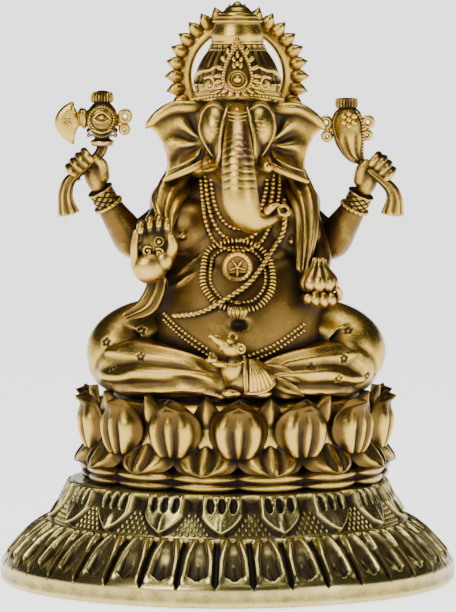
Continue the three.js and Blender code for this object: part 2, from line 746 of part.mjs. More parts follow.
const meets = (a, b) => {
  const [p, q] = [a.boundingBox(), b.boundingBox()];
  return [0, 1, 2].every((k) => p.min[k] < q.max[k] && q.min[k] < p.max[k]);
};
const spaces = [];
for (const [name, shape] of castings) {
  let made = shape(0);
  for (const space of spaces) {
    if (meets(space, made)) made = made.subtract(space);
  }
  named(name, largest(made), warmBrass, figure);
  spaces.push(shape(GAP));
}

export default statue;
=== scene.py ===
"""The looks of a seated elephant-headed brass statuette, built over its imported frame.

Every surface is a function of two parameters on a grid, or a profile carried along a path.
Lengths inside the functions are millimetres in the figure's own frame: +Z up, the front towards
-Y, and x = 0 in the middle of the lotus. They turn into metres where a mesh is written.
Right and left are the deity's own: its right side lies at -X.
"""

import bpy
import numpy as np
from bpy.props import FloatProperty, FloatVectorProperty, IntProperty, PointerProperty
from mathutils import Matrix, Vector


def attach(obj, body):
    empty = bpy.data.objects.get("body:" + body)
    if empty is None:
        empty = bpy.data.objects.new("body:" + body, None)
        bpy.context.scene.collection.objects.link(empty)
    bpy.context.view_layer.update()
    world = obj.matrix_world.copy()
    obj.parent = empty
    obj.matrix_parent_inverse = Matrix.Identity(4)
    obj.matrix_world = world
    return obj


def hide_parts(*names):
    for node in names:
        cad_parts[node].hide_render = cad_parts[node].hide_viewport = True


bl_info = {
    "name": "Brass statuette",
    "version": (1, 0, 0),
    "blender": (4, 5, 0),
    "location": "3D View > Sidebar > Statuette",
    "description": "Builds the surfaces, metals and studio of a small cast statuette",
    "category": "Object",
}

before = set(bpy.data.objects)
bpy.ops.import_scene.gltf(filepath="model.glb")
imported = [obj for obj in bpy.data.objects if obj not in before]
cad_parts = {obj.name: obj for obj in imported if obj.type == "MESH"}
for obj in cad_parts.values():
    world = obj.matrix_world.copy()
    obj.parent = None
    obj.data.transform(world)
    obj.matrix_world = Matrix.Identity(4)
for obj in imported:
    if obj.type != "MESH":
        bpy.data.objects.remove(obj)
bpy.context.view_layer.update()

MM = 0.001
ROOT = "root"
FIGURE_X = 1.3  # the figure and its lotus stand this far to the right of the plinth's axis


# ---------------------------------------------------------------- sizes and colours


class StatuetteSizes(bpy.types.PropertyGroup):
    """Sizes that can be changed without breaking the fit of one casting on another"""

    petals: IntProperty(
        name="Petals", description="Petals in each row of the lotus", default=14, min=8, max=24
    )
    leaves: IntProperty(
        name="Leaves", description="Leaves round the plinth's shoulder", default=18, min=8, max=30
    )
    flutes: IntProperty(
        name="Flutes", description="Arched panels round the plinth's foot", default=38, min=16, max=60
    )
    flames: IntProperty(
        name="Flames", description="Flames round the halo", default=30, min=12, max=48
    )
    relief: FloatProperty(
        name="Relief", description="Depth of the carving, as a share of the usual", default=1.0,
        min=0.2, max=1.4, subtype="FACTOR",
    )


class StatuetteColours(bpy.types.PropertyGroup):
    """Colours of the metals and of the studio"""

    warm_high: FloatVectorProperty(
        name="Rubbed brass", description="High points of the figure", subtype="COLOR",
        size=3, default=(0.65, 0.43, 0.08), min=0, max=1,
    )
    warm_mid: FloatVectorProperty(
        name="Toned brass", description="Open surfaces of the figure", subtype="COLOR",
        size=3, default=(0.145, 0.084, 0.019), min=0, max=1,
    )
    green_high: FloatVectorProperty(
        name="Rubbed plinth brass", description="High points of the plinth", subtype="COLOR",
        size=3, default=(0.56, 0.46, 0.15), min=0, max=1,
    )
    green_mid: FloatVectorProperty(
        name="Toned plinth brass", description="Open surfaces of the plinth", subtype="COLOR",
        size=3, default=(0.15, 0.11, 0.035), min=0, max=1,
    )
    # The dark colour of the wash: the real patina in the hollows, and painted shade where other parts
    # shut the surface in.
    patina_and_shade: FloatVectorProperty(
        name="Patina", description="Dark wash left in the recesses", subtype="COLOR",
        size=3, default=(0.016, 0.009, 0.004), min=0, max=1,
    )
    floor: FloatVectorProperty(
        name="Floor", description="The studio floor and backdrop", subtype="COLOR",
        size=3, default=(0.86, 0.86, 0.86), min=0, max=1,
    )


# ---------------------------------------------------------------- curves and grids


def smooth_step(low, high, x):
    """0 below low, 1 above high and the cubic 3t^2 - 2t^3 between."""
    t = np.clip((x - low) / (high - low), 0, 1)
    return t * t * (3 - 2 * t)


def through(points, count, closed=False):
    """count points evenly spaced on the Catmull-Rom curve through points, any number of columns."""
    p = np.asarray(points, float)
    if closed:
        p = np.vstack([p[-1], p, p[0], p[1]])
    else:
        p = np.vstack([2 * p[0] - p[1], p, 2 * p[-1] - p[-2]])
    spans = len(p) - 3
    u = np.linspace(0, spans, spans * 24 + 1)[:, None]
    i = np.minimum(u.astype(int), spans - 1)
    t = u - i
    a, b, c, d = (p[i[:, 0] + k] for k in range(4))
    curve = 0.5 * (2 * b + (c - a) * t + (2 * a - 5 * b + 4 * c - d) * t**2
        + (3 * b - a - 3 * c + d) * t**3)
    steps = np.linalg.norm(np.diff(curve[:, :3], axis=0), axis=1)
    reach = np.concatenate([[0], np.cumsum(steps)])
    at = np.linspace(0, reach[-1], count + 1)[:-1] if closed else np.linspace(0, reach[-1], count)
    return np.stack([np.interp(at, reach, column) for column in curve.T], axis=1)


def circle(middle, radius, count):
    """count points round a circle in the plane of radius and height, anticlockwise."""
    angle = np.linspace(0, 2 * np.pi, count, endpoint=False)
    return np.stack([middle[0] + radius * np.cos(angle), middle[1] + radius * np.sin(angle)], -1)


def unit(v):
    """Vectors of length 1 in the directions of v."""
    return v / np.maximum(np.linalg.norm(v, axis=-1, keepdims=True), 1e-12)


def grid_faces(rows, columns, wrap_rows=False):
    """Triangles of a grid that closes on itself across its columns, and with wrap_rows along them."""
    index = np.arange(rows * columns).reshape(rows, columns)
    low = index if wrap_rows else index[:-1]
    high = np.roll(index, -1, 0) if wrap_rows else index[1:]
    a, b, c, d = low, np.roll(low, -1, 1), np.roll(high, -1, 1), high
    return np.stack([np.stack([a, b, c], -1), np.stack([a, c, d], -1)], 2).reshape(-1, 3)


def closed_grid(points, wrap_rows=False):
    """A grid of points [row, column, xyz] as a closed skin: columns wrap, and end rows get a fan."""
    rows, columns = points.shape[:2]
    faces = grid_faces(rows, columns, wrap_rows)
    corners = points.reshape(-1, 3)
    if not wrap_rows:
        ends = np.stack([points[0].mean(0), points[-1].mean(0)])
        ring = np.arange(columns)
        following = np.roll(ring, -1)
        first, last = len(corners), len(corners) + 1
        top = ring + (rows - 1) * columns
        fans = [
            np.stack([np.full(columns, first), following, ring], -1),
            np.stack([np.full(columns, last), top, np.roll(top, -1)], -1),
        ]
        corners = np.vstack([corners, ends])
        faces = np.vstack([faces, *fans])
    return outward(corners, faces)


def outward(corners, faces):
    """The skin with its faces turned out, told by the sign of the volume they enclose."""
    a, b, c = (corners[faces[:, k]] for k in range(3))
    volume = np.einsum("ij,ij->i", a, np.cross(b, c)).sum()
    return corners, faces if volume > 0 else faces[:, ::-1]


def joined(skins):
    """Several skins as one."""
    offsets = np.cumsum([0] + [len(corners) for corners, _ in skins[:-1]])
    corners = np.vstack([corners for corners, _ in skins])
    return corners, np.vstack([faces + start for (_, faces), start in zip(skins, offsets)])


def moved(skin, shift=(0, 0, 0), scale=(1, 1, 1), turn=(0, 0, 0)):
    """The skin scaled, turned about X, Y and Z in degrees, then shifted."""
    corners, faces = skin
    return outward(corners * np.array(scale, float) @ rotation(turn).T + np.array(shift, float), faces)


def rotation(turn):
    """The matrix that turns about X, then Y, then Z, by degrees."""
    x, y, z = np.radians(turn)
    about_x = [[1, 0, 0], [0, np.cos(x), -np.sin(x)], [0, np.sin(x), np.cos(x)]]
    about_y = [[np.cos(y), 0, np.sin(y)], [0, 1, 0], [-np.sin(y), 0, np.cos(y)]]
    about_z = [[np.cos(z), -np.sin(z), 0], [np.sin(z), np.cos(z), 0], [0, 0, 1]]
    return np.array(about_z) @ np.array(about_y) @ np.array(about_x)


def copies(skin, places, turns=None):
    """The skin repeated: at each place, after a turn matrix of its own."""
    corners, faces = skin
    places = np.asarray(places, float)
    count = len(places)
    spots = np.repeat(corners[None], count, 0)
    if turns is not None:
        spots = np.einsum("nij,nkj->nki", turns, spots)
    spots = (spots + places[:, None]).reshape(-1, 3)
    tiled = faces[None] + (np.arange(count) * len(corners))[:, None, None]
    return spots, tiled.reshape(-1, 3)


def upright_turns(angle):
    """The matrices that turn about the Z axis by each angle."""
    c, s, o, i = np.cos(angle), np.sin(angle), np.zeros(len(angle)), np.ones(len(angle))
    return np.stack([np.stack([c, -s, o], -1), np.stack([s, c, o], -1), np.stack([o, o, i], -1)], 1)


def ringed(skin, count, start=0.0):
    """The skin repeated count times about the Z axis, the first turned by start degrees."""
    angles = np.radians(start) + np.arange(count) * 2 * np.pi / count
    return copies(skin, np.zeros((count, 3)), upright_turns(angles))


def mirrored(skin, x=0.0):
    """The skin reflected in the plane at x."""
    corners, faces = skin
    return corners * [-1, 1, 1] + [2 * x, 0, 0], faces[:, ::-1]


# ---------------------------------------------------------------- solid shapes


def ball(at, radii, turn=(0, 0, 0), detail=24, swell=None):
    """An ellipsoid: unit sphere (latitude rows, longitude columns) times radii, turned, moved.
    swell(direction) gives a factor for each unit direction."""
    rows, columns = max(5, detail // 2), detail
    latitude = np.linspace(-np.pi / 2, np.pi / 2, rows + 2)[1:-1, None]
    longitude = np.linspace(0, 2 * np.pi, columns, endpoint=False)[None]
    ones = np.ones_like(longitude)
    way = np.stack(
        [np.cos(latitude) * np.cos(longitude), np.cos(latitude) * np.sin(longitude),
        np.sin(latitude) * ones],
        -1,
    )
    size = 1 if swell is None else swell(way)[..., None]
    poles = np.array([[0, 0, -1.0], [0, 0, 1.0]])
    pole_size = 1 if swell is None else swell(poles)[..., None]
    corners, faces = closed_grid(way * size)
    corners = corners.copy()
    corners[-2:] = poles * pole_size
    return moved((corners, faces), at, radii, turn)


def tube(path, radius, flat=1.0, up=(0, 1, 0), rows=60, columns=28, ends=(1, 1), relief=None, square=2.0):
    """A profile carried along a path.
    The path is a curve through points [x, y, z]; radius and flat are numbers or one per point.
    At u along it and angle v about it the surface lies radius(u) (cos v across, flat(u) sin v
    along up) from the middle, plus relief(u, v) outwards, and both ends are rounded domes whose
    lengths are ends times the radius. square above 2 makes the section a rounded rectangle."""
    path = np.asarray(path, float)
    count = len(path)
    radius = np.broadcast_to(np.asarray(radius, float), count)
    flat = np.broadcast_to(np.asarray(flat, float), count)
    line = through(np.column_stack([path, radius, flat]), rows)
    middle, size, thin = line[:, :3], np.maximum(line[:, 3], 0.02), np.maximum(line[:, 4], 0.05)
    forward = unit(np.gradient(middle, axis=0))
    across = unit(np.cross(forward, np.broadcast_to(np.asarray(up, float), forward.shape)))
    through_way = np.cross(across, forward)
    dome = np.linspace(0, np.pi / 2, 7)[1:]
    low_scale, high_scale = np.cos(dome)[::-1], np.cos(dome)
    low_back = np.sin(dome)[::-1] * size[0] * ends[0] * min(1, thin[0] + 0.2)
    high_on = np.sin(dome) * size[-1] * ends[1] * min(1, thin[-1] + 0.2)
    middle = np.vstack([middle[0] - forward[0] * low_back[:, None], middle,
        middle[-1] + forward[-1] * high_on[:, None]])
    shrink = np.concatenate([low_scale, np.ones(rows), high_scale])
    pad = lambda a: np.concatenate([np.repeat(a[:1], 6, 0), a, np.repeat(a[-1:], 6, 0)])
    size, thin, across, through_way = pad(size), pad(thin), pad(across), pad(through_way)
    v = np.linspace(0, 2 * np.pi, columns, endpoint=False)
    u = pad(np.linspace(0, 1, rows))
    c, s = np.cos(v)[None], np.sin(v)[None]
    fill = (np.abs(c) ** square + np.abs(s) ** square) ** (-1 / square)
    extra = 0 if relief is None else relief(u[:, None], v[None]) * np.ones_like(fill)
    r = (size * shrink)[:, None] * fill + extra * shrink[:, None]
    thick = thin[:, None]
    points = (
        middle[:, None]
        + (r * c)[..., None] * across[:, None]
        + (r * s * thick)[..., None] * through_way[:, None]
    )
    return closed_grid(points)


def revolved(profile, columns, at=(0, 0), relief=None, rows=None):
    """A profile [radius, height] turned about a vertical axis. relief(angle, t) pushes the
    surface out along the profile's normal. A profile that ends on the axis closes there."""
    profile = np.asarray(profile, float)
    if rows:
        profile = through(np.column_stack([profile, np.zeros(len(profile))]), rows)[:, :2]
    t = np.linspace(0, 1, len(profile))
    ahead = np.gradient(profile, axis=0)
    normal = unit(np.stack([ahead[:, 1], -ahead[:, 0]], -1))
    angle = np.linspace(0, 2 * np.pi, columns, endpoint=False)
    push = 0 if relief is None else relief(angle[None], t[:, None]) * np.ones((len(t), columns))
    r = profile[:, :1] + normal[:, :1] * push
    z = profile[:, 1:] + normal[:, 1:] * push
    r, z = np.maximum(r * np.ones((1, columns)), 1e-4), z * np.ones((1, columns))
    points = np.stack([at[0] + r * np.sin(angle), at[1] - r * np.cos(angle), z], -1)
    return closed_grid(points)


def revolved_ring(profile, columns, relief=None):
    """As revolved, for a profile that closes on itself away from the axis."""
    profile = np.asarray(profile, float)
    t = np.linspace(0, 1, len(profile), endpoint=False)
    ahead = np.roll(profile, -1, 0) - np.roll(profile, 1, 0)
    area = (profile[:, 0] * np.roll(profile[:, 1], -1) - np.roll(profile[:, 0], -1) * profile[:, 1]).sum()
    normal = unit(np.stack([ahead[:, 1], -ahead[:, 0]], -1)) * np.sign(area)
    angle = np.linspace(0, 2 * np.pi, columns, endpoint=False)
    flat = np.zeros((len(t), columns))
    push = flat if relief is None else flat + relief(angle[None], t[:, None])
    r = profile[:, :1] + normal[:, :1] * push
    z = profile[:, 1:] + normal[:, 1:] * push
    points = np.stack([r * np.sin(angle), -r * np.cos(angle), z], -1)
    return closed_grid(points, wrap_rows=True)


def beads(path, radius, closed=False, squash=1.0, pitch=1.9, detail=8):
    """Balls strung along a curve, a little closer than they are wide, squashed along it."""
    path = np.asarray(path, float)
    rough = through(path, 200, closed)
    length = np.linalg.norm(np.diff(rough, axis=0), axis=1).sum()
    places = through(path, max(3, int(round(length / (radius * pitch * squash)))), closed)
    forward = unit(np.gradient(places, axis=0))
    side = unit(np.cross(forward, np.broadcast_to([0.13, 0.97, 0.2], forward.shape)))
    turns = np.stack([side, forward, np.cross(side, forward)], -1)
    bead = ball((0, 0, 0), (1, 1, 1), detail=detail)
    return copies(moved(bead, scale=(radius, radius * squash, radius)), places, turns)


def rope(path, radius, rows=260, strands=2, twist=2.2, columns=14):
    """A twisted cord: a tube whose section has one lobe for each strand, turning as it runs."""
    path = np.asarray(path, float)
    line = through(path, 200)
    length = np.linalg.norm(np.diff(line, axis=0), axis=1).sum()
    turns = length / (radius * twist * 2)

    def lobes(u, v):
        return radius * 0.26 * (np.abs(np.sin(strands * 0.5 * (v + 2 * np.pi * turns * u))) * 2 - 1)

    return tube(path, radius, rows=rows, columns=columns, relief=lobes)


# ---------------------------------------------------------------- meshes


def write_mesh(name, corners, faces):
    """A Blender mesh from millimetre corners and triangles, as whole arrays."""
    mesh = bpy.data.meshes.new(name)
    mesh.vertices.add(len(corners))
    mesh.vertices.foreach_set("co", (corners * MM).astype(np.float32).ravel())
    mesh.loops.add(faces.size)
    mesh.loops.foreach_set("vertex_index", faces.astype(np.int32).ravel())
    mesh.polygons.add(len(faces))
    mesh.polygons.foreach_set("loop_start", np.arange(0, faces.size, 3, dtype=np.int32))
    mesh.update(calc_edges=True)
    mesh.validate()
    return mesh


def read_mesh(mesh):
    """Millimetre corners and triangles of a Blender mesh."""
    corners = np.empty(len(mesh.vertices) * 3, np.float32)
    mesh.vertices.foreach_get("co", corners)
    mesh.calc_loop_triangles()
    faces = np.empty(len(mesh.loop_triangles) * 3, np.int32)
    mesh.loop_triangles.foreach_get("vertices", faces)
    return corners.reshape(-1, 3).astype(float) / MM, faces.reshape(-1, 3)


def edges_of(faces):
    """Both directions of every edge of the triangles."""
    pairs = np.vstack([faces[:, [0, 1]], faces[:, [1, 2]], faces[:, [2, 0]]])
    return np.vstack([pairs, pairs[:, ::-1]])


def neighbour_mean(values, pairs, count):
    """For each corner, the mean of values over the corners that share an edge with it."""
    share = np.maximum(np.bincount(pairs[:, 0], minlength=count), 1)
    values = values.reshape(count, -1)
    sums = [np.bincount(pairs[:, 0], column[pairs[:, 1]], count) for column in values.T]
    return (np.stack(sums, -1) / share[:, None]).squeeze()


def relaxed(corners, faces, rounds):
    """Corners drawn to their neighbours' mean and pushed back a little less, in turns."""
    pairs = edges_of(faces)
    for _ in range(rounds):
        for pull in (0.55, -0.5):
            corners = corners + pull * (neighbour_mean(corners, pairs, len(corners)) - corners)
    return corners


def normals_of(corners, faces):
    """Unit normals at the corners, each face weighted by its area."""
    a, b, c = (corners[faces[:, k]] for k in range(3))
    area_normal = np.cross(b - a, c - a)
    count = len(corners)
    sums = [sum(np.bincount(faces[:, k], area_normal[:, x], count) for k in range(3)) for x in range(3)]
    return unit(np.stack(sums, -1))


def bulge_of(corners, faces, reach=0.75):
    """How far each corner stands proud of the surface smoothed over reach, in quarter
    millimetres: positive on ridges, negative in grooves."""
    count = len(corners)
    normal = normals_of(corners, faces)
    pairs = edges_of(faces)
    edge = np.median(np.linalg.norm(corners[pairs[:, 0]] - corners[pairs[:, 1]], axis=1))
    smooth = corners
    for _ in range(int(np.clip((reach / edge) ** 2, 3, 40))):
        smooth = neighbour_mean(smooth, pairs, count)
    bulge = np.einsum("ij,ij->i", corners - smooth, normal) / 0.25
    return np.clip(0.5 * bulge + 0.5 * neighbour_mean(bulge, pairs, count), -2, 2)


def fused(skin, voxel, rounds=4):
    """The overlapping skins of a casting melted into one, with soft fillets where they meet."""
    mesh = write_mesh("melt", *skin)
    thing = bpy.data.objects.new("melt", mesh)
    bpy.context.scene.collection.objects.link(thing)
    melt = thing.modifiers.new("melt", "REMESH")
    melt.mode = "VOXEL"
    melt.voxel_size = voxel * MM
    melt.adaptivity = 0.0
    seen = thing.evaluated_get(bpy.context.evaluated_depsgraph_get())
    corners, faces = read_mesh(seen.data)
    bpy.data.objects.remove(thing)
    bpy.data.meshes.remove(mesh)
    return relaxed(corners, faces, rounds), faces


def make_piece(name, skin, material, replaces=(), shift=FIGURE_X, crease=50):
    """Writes a skin as an object that rides on the frame, with its ridges marked for wear."""
    corners, faces = skin
    mesh = write_mesh(name, corners + [shift, 0, 0], faces)
    if len(mesh.vertices) == len(corners):
        wear_and_shade = mesh.attributes.new("bulge", "FLOAT", "POINT")
        wear_and_shade.data.foreach_set("value", bulge_of(corners, faces).astype(np.float32))
    mesh.shade_smooth()
    mesh.set_sharp_from_angle(angle=np.radians(crease))
    mesh.materials.append(material)
    thing = bpy.data.objects.new(name, mesh)
    bpy.context.scene.collection.objects.link(thing)
    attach(thing, ROOT)
    if replaces:
        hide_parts(*replaces)
    return thing


# ---------------------------------------------------------------- metals


class Value:
    """A number that varies over a surface: a socket whose arithmetic adds Math nodes."""

    def __init__(self, shader, socket):
        self.shader = shader
        self.socket = socket

    def math(self, operation, *others):
        values = {i: other for i, other in enumerate([self, *others])}
        return Value(self.shader, self.shader.node("ShaderNodeMath", {"operation": operation},
            values).outputs[0])

    def __add__(self, other):
        return self.math("ADD", other)

    def __sub__(self, other):
        return self.math("SUBTRACT", other)

    def __mul__(self, other):
        return self.math("MULTIPLY", other)

    def __rsub__(self, other):
        flipped = self.shader.node("ShaderNodeMath", {"operation": "SUBTRACT"}, {0: other, 1: self})
        return Value(self.shader, flipped.outputs[0])

    __radd__ = __add__
    __rmul__ = __mul__

    def between(self, low, high):
        """Smoothly from 0 at low to 1 at high."""
        span = self.shader.node(
            "ShaderNodeMapRange",
            {"interpolation_type": "SMOOTHSTEP"},
            {"Value": self, "From Min": low, "From Max": high},
        )
        return Value(self.shader, span.outputs[0])


class Shader:
    """A material's node tree."""

    def __init__(self, name):
        self.material = bpy.data.materials.new(name)
        self.material.use_nodes = True
        self.tree = self.material.node_tree
        self.surface = self.tree.nodes["Principled BSDF"]

    def node(self, kind, settings=None, inputs=None):
        """Adds a node: its settings first, then the values or links of its sockets."""
        made = self.tree.nodes.new(kind)
        for key, value in (settings or {}).items():
            setattr(made, key, value)
        for key, value in (inputs or {}).items():
            self.feed(made.inputs[key], value)
        return made

    def feed(self, socket, value):
        if isinstance(value, Value):
            value = value.socket
        if isinstance(value, bpy.types.NodeSocket):
            self.tree.links.new(value, socket)
        else:
            socket.default_value = value

    def mix(self, share, low, high):
        """A colour: low where share is 0, high where it is 1."""
        low, high = ((*c, 1.0) if isinstance(c, tuple) else c for c in (low, high))
        mixed = self.tree.nodes.new("ShaderNodeMix")
        mixed.data_type = "RGBA"
        self.feed(mixed.inputs[0], share)
        self.feed(mixed.inputs[6], low)
        self.feed(mixed.inputs[7], high)
        return mixed.outputs[2]

    def place(self):
        return self.node("ShaderNodeTexCoord").outputs["Object"]

    def noise(self, grain_mm, detail=3.0, stretch=(1, 1, 1), rough=0.55):
        """Noise from 0 to 1 whose features are about grain_mm across."""
        scaled = self.node(
            "ShaderNodeMapping", {}, {"Vector": self.place(),
            "Scale": tuple(s / (grain_mm * MM) for s in stretch)}
        )
        made = self.node(
            "ShaderNodeTexNoise", {}, {"Vector": scaled.outputs[0], "Scale": 1.0, "Detail": detail,
            "Roughness": rough}
        )
        return Value(self, made.outputs[0])

    def attribute(self, name):
        return Value(self, self.node("ShaderNodeAttribute", {"attribute_name": name}).outputs["Fac"])

    def openness(self, reach_mm):
        """1 on open surfaces, falling to 0 deep in a crevice narrower than reach_mm."""
        made = self.node("ShaderNodeAmbientOcclusion", {"samples": 6}, {"Distance": reach_mm * MM})
        return Value(self, made.outputs["AO"])

    def bumped(self, height, distance_mm, strength=1.0):
        made = self.node(
            "ShaderNodeBump", {}, {"Height": height, "Distance": distance_mm * MM, "Strength": strength}
        )
        self.feed(self.surface.inputs["Normal"], made.outputs[0])

    def set(self, **values):
        for key, value in values.items():
            self.feed(self.surface.inputs[key.replace("_", " ")], value)


def antique_brass(name, high, mid, patina_and_shade, blush, wear_and_shade, brushed):
    """Cast brass with a dark wash: dark in the hollows, where the real patina lies, and dark where
    other surfaces shut it in, which is painted shade; toned where it is open, rubbed bright where
    it stands proud, with a sandy casting grain."""
    shader = Shader(name)
    bulge = shader.attribute("bulge")
    # Occlusion within 3 mm: in the hollows it stands for the real patina, in narrow gaps and between
    # parts it is painted shade.
    open_air = shader.openness(3.0)
    cloud = shader.noise(2.4, 4)
    fine = shader.noise(0.35, 3)
    grain = shader.noise(0.11, 2)
    wash_and_shade = (open_air + (cloud - 0.5) * 0.25 + (fine - 0.5) * 0.2 + bulge * 0.3).between(0.38, 1.02)
    rubbed = (bulge * 0.9 + (open_air - 0.9) * 1.1 + (cloud - 0.5) * 0.9 + (fine - 0.5) * 0.4
        + wear_and_shade).between(0.0, 0.9)
    # The toned colour: the patina colour where the wash mask is low, which is real patina in the hollows
    # and painted shade between parts.
    toned_and_shaded = shader.mix(wash_and_shade, tuple(patina_and_shade), tuple(mid))
    pink = shader.mix((shader.noise(5.5, 2) * rubbed).between(0.52, 0.74), tuple(high), tuple(blush))
    shader.feed(shader.surface.inputs["Base Color"], shader.mix(rubbed * wash_and_shade, toned_and_shaded, pink))
    shader.feed(shader.surface.inputs["Roughness"],
        ((1 - wash_and_shade) * 0.3 + 0.28 - rubbed * 0.04 + (grain - 0.5) * 0.16))
    shader.feed(shader.surface.inputs["Metallic"], wash_and_shade * 0.4 + 0.6)
    if brushed:
        lines = shader.noise(0.16, 2, stretch=(0.04, 0.04, 2.2))
        shader.bumped(lines * 0.8 + grain * 0.5, 0.05, 0.5)
    else:
        shader.bumped(grain * 0.8 + fine * 0.7, 0.07, 0.6)
    return shader.material


def plain_metal(name, colour, roughness):
    """Plated steel: an even colour with a fine turned grain."""
    shader = Shader(name)
    grain = shader.noise(0.2, 2, stretch=(1, 1, 6))
    cloud = shader.noise(2.0, 3)
    tint = shader.mix(cloud, tuple(c * 0.8 for c in colour), tuple(colour))
    shader.feed(shader.surface.inputs["Base Color"], tint)
    shader.feed(shader.surface.inputs["Roughness"], grain * 0.2 + roughness)
    shader.set(Metallic=1.0)
    shader.bumped(grain, 0.03, 0.4)
    return shader.material


def felt_cloth(name):
    """Dense felt: matted fibres in two greys."""
    shader = Shader(name)
    fibre = shader.noise(0.25, 5, rough=0.7)
    cloud = shader.noise(3.0, 2)
    shader.feed(
        shader.surface.inputs["Base Color"],
        shader.mix(fibre * 0.7 + cloud * 0.3, (0.008, 0.009, 0.009), (0.035, 0.037, 0.036)),
    )
    shader.feed(shader.surface.inputs["Roughness"], fibre * 0.1 + 0.88)
    shader.bumped(fibre, 0.25, 0.8)
    return shader.material


# Each antique finish: the sidebar colours of its high points and open surfaces, the blush on its
# highest points, how far it is rubbed (negative: left darker), and whether it is brushed. The
# "shaded" copy, darker than "warm", is painted shade for the lotus seat and petals under the figure.
ANTIQUE = {
    "warm": ("warm_high", "warm_mid", (0.74, 0.40, 0.19), -0.15, False),
    "shaded": ("warm_high", "warm_mid", (0.74, 0.40, 0.19), -0.3, False),
    "rubbed": ("warm_high", "warm_mid", (0.76, 0.42, 0.20), 0.36, False),
    "green": ("green_high", "green_mid", (0.60, 0.52, 0.25), 0.45, True),
}
METALS = {}


def metal(kind):
    """The material of that kind, made once from the colours in the sidebar."""
    if kind not in METALS:
        colours = bpy.context.scene.statuette_colours
        if kind in ANTIQUE:
            high, mid, blush, wear_and_shade, brushed = ANTIQUE[kind]
            METALS[kind] = antique_brass(
                kind + "_antique_brass", getattr(colours, high), getattr(colours, mid), colours.patina_and_shade,
                blush, wear_and_shade, brushed,
            )
        elif kind == "steel":
            METALS[kind] = plain_metal("plated_steel", (0.68, 0.69, 0.70), 0.28)
        else:
            METALS[kind] = felt_cloth("black_felt")
    return METALS[kind]


# ---------------------------------------------------------------- plinth

LEAF_BAND = [
    [26.3, 17.8], [26.9, 17.75], [27.6, 17.2], [28.2, 15.9], [28.9, 14.6], [29.8, 13.0], [30.6, 11.7],
    [31.0, 10.95],
]
FLUTE_BAND = [
    [31.1, 10.9], [32.6, 10.25], [34.5, 8.85], [36.0, 7.3], [37.3, 5.9], [38.4, 4.6], [39.05, 3.7],
    [39.2, 3.1], [39.2, 1.7], [39.15, 0.9], [38.8, 0.42],
]


def leaf_relief(count, depth):
    """Leaves round the shoulder, t running down. Over each leaf a shield stands up that narrows
    to a point, with three long ovals sunk into its top and a keel at its point; between leaves
    the ground is sunk, deepest at the top."""

    def push(angle, t):
        a = np.mod(angle * count / (2 * np.pi) + 0.5 + 0.095, 1) - 0.5
        edge = 0.33 * (1 - np.clip((t - 0.5) / 0.44, 0, 1) ** 1.5)
        shield = smooth_step(0.045, -0.02, np.abs(a) - edge) * smooth_step(0.98, 0.93, t)
        keel = 0.35 * np.exp(-((a / 0.06) ** 2)) * smooth_step(0.45, 0.7, t) * shield
        ovals = 0
        for middle in (-0.215, 0.0, 0.215):
            across = (a - middle * (1 - 0.25 * t)) / 0.08
            down = (t - 0.33) / 0.235
            ovals = ovals + smooth_step(1.0, 0.45,
                np.sqrt(across**2 + down**2) + 0.25 * down * (down > 0))
        band = smooth_step(0.1, 0.16, t) * smooth_step(1.0, 0.985, t)
        ground = -0.8 - 1.0 * smooth_step(0.6, 0.25, t) * smooth_step(0.34, 0.46, np.abs(a))
        return depth * band * (ground * (1 - shield) + 0.25 * shield + keel - 1.15 * ovals * shield)

    return push


def flute_relief(count, depth):
    """Arched panels round the foot, t running down. Two ridges bow out from the top of each
    panel; the field between them sinks as it goes down and holds a thin fin; a straight slot
    parts each panel from the next and runs on into the rim."""

    def push(angle, t):
        a = np.mod(angle * count / (2 * np.pi) + 0.5 - 0.18, 1) - 0.5
        bow = 0.175 + 0.165 * smooth_step(0.0, 0.42, t) ** 0.8 + 0.03 * smooth_step(0.4, 0.8, t)
        half = 0.068 + 0.03 * np.sin(np.pi * np.clip(t / 0.8, 0, 1))
        band = smooth_step(0.005, 0.03, t)
        inside = smooth_step(0.02, -0.02, np.abs(a) - (bow - half)) * smooth_step(0.69, 0.655,
            t + 0.35 * np.abs(a))
        field = 0.35 + 0.75 * smooth_step(0.2, 0.5, t)
        fin = np.exp(-((a / (0.012 + 0.05 * np.clip(t - 0.35, 0, 1))) ** 2)) * smooth_step(0.36, 0.6, t)
        slot_end = smooth_step(0.79, 0.75, t + 0.9 * np.abs(np.abs(a) - 0.5))
        slot = smooth_step(-0.02, 0.025, np.abs(a) - 0.418) * slot_end
        gutter = smooth_step(0.02, -0.02, (bow + half) - np.abs(a)) * smooth_step(0.5, 0.3,
            t) * smooth_step(0.02, 0.07, t)
        round_back = 0.3 * np.exp(-(((np.abs(a) - bow) / (half * 1.1)) ** 2)) * smooth_step(0.72, 0.6, t)
        sunk = inside * (field - 0.95 * fin * field) + 1.35 * slot + 0.35 * gutter * (1 - slot)
        return depth * band * (round_back - sunk)

    return push


def stipples(count):
    """Rows of small upright drops on the ground between the leaves, wider row by row."""
    rows = []
    for t, number in ((0.50, 2), (0.60, 3), (0.70, 4), (0.80, 5), (0.90, 6)):
        spread = (np.arange(number) - (number - 1) / 2) * 0.108
        rows += [[t, 0.5 + s] for s in spread]
    spots = np.array(rows)
    line = through(LEAF_BAND, 101)
    at = line[np.round(spots[:, 0] * 100).astype(int)]
    a = (spots[:, 1][None] + np.arange(count)[:, None] - 0.095) * 2 * np.pi / count
    r, z = at[:, 0][None] - 0.62, at[:, 1][None] * np.ones_like(a) - 0.3
    places = np.stack([r * np.sin(a), -r * np.cos(a), z], -1).reshape(-1, 3)
    drop = ball((0, 0, 0), (0.23, 0.42, 0.42), detail=7)
    return copies(drop, places, upright_turns(a.ravel()))


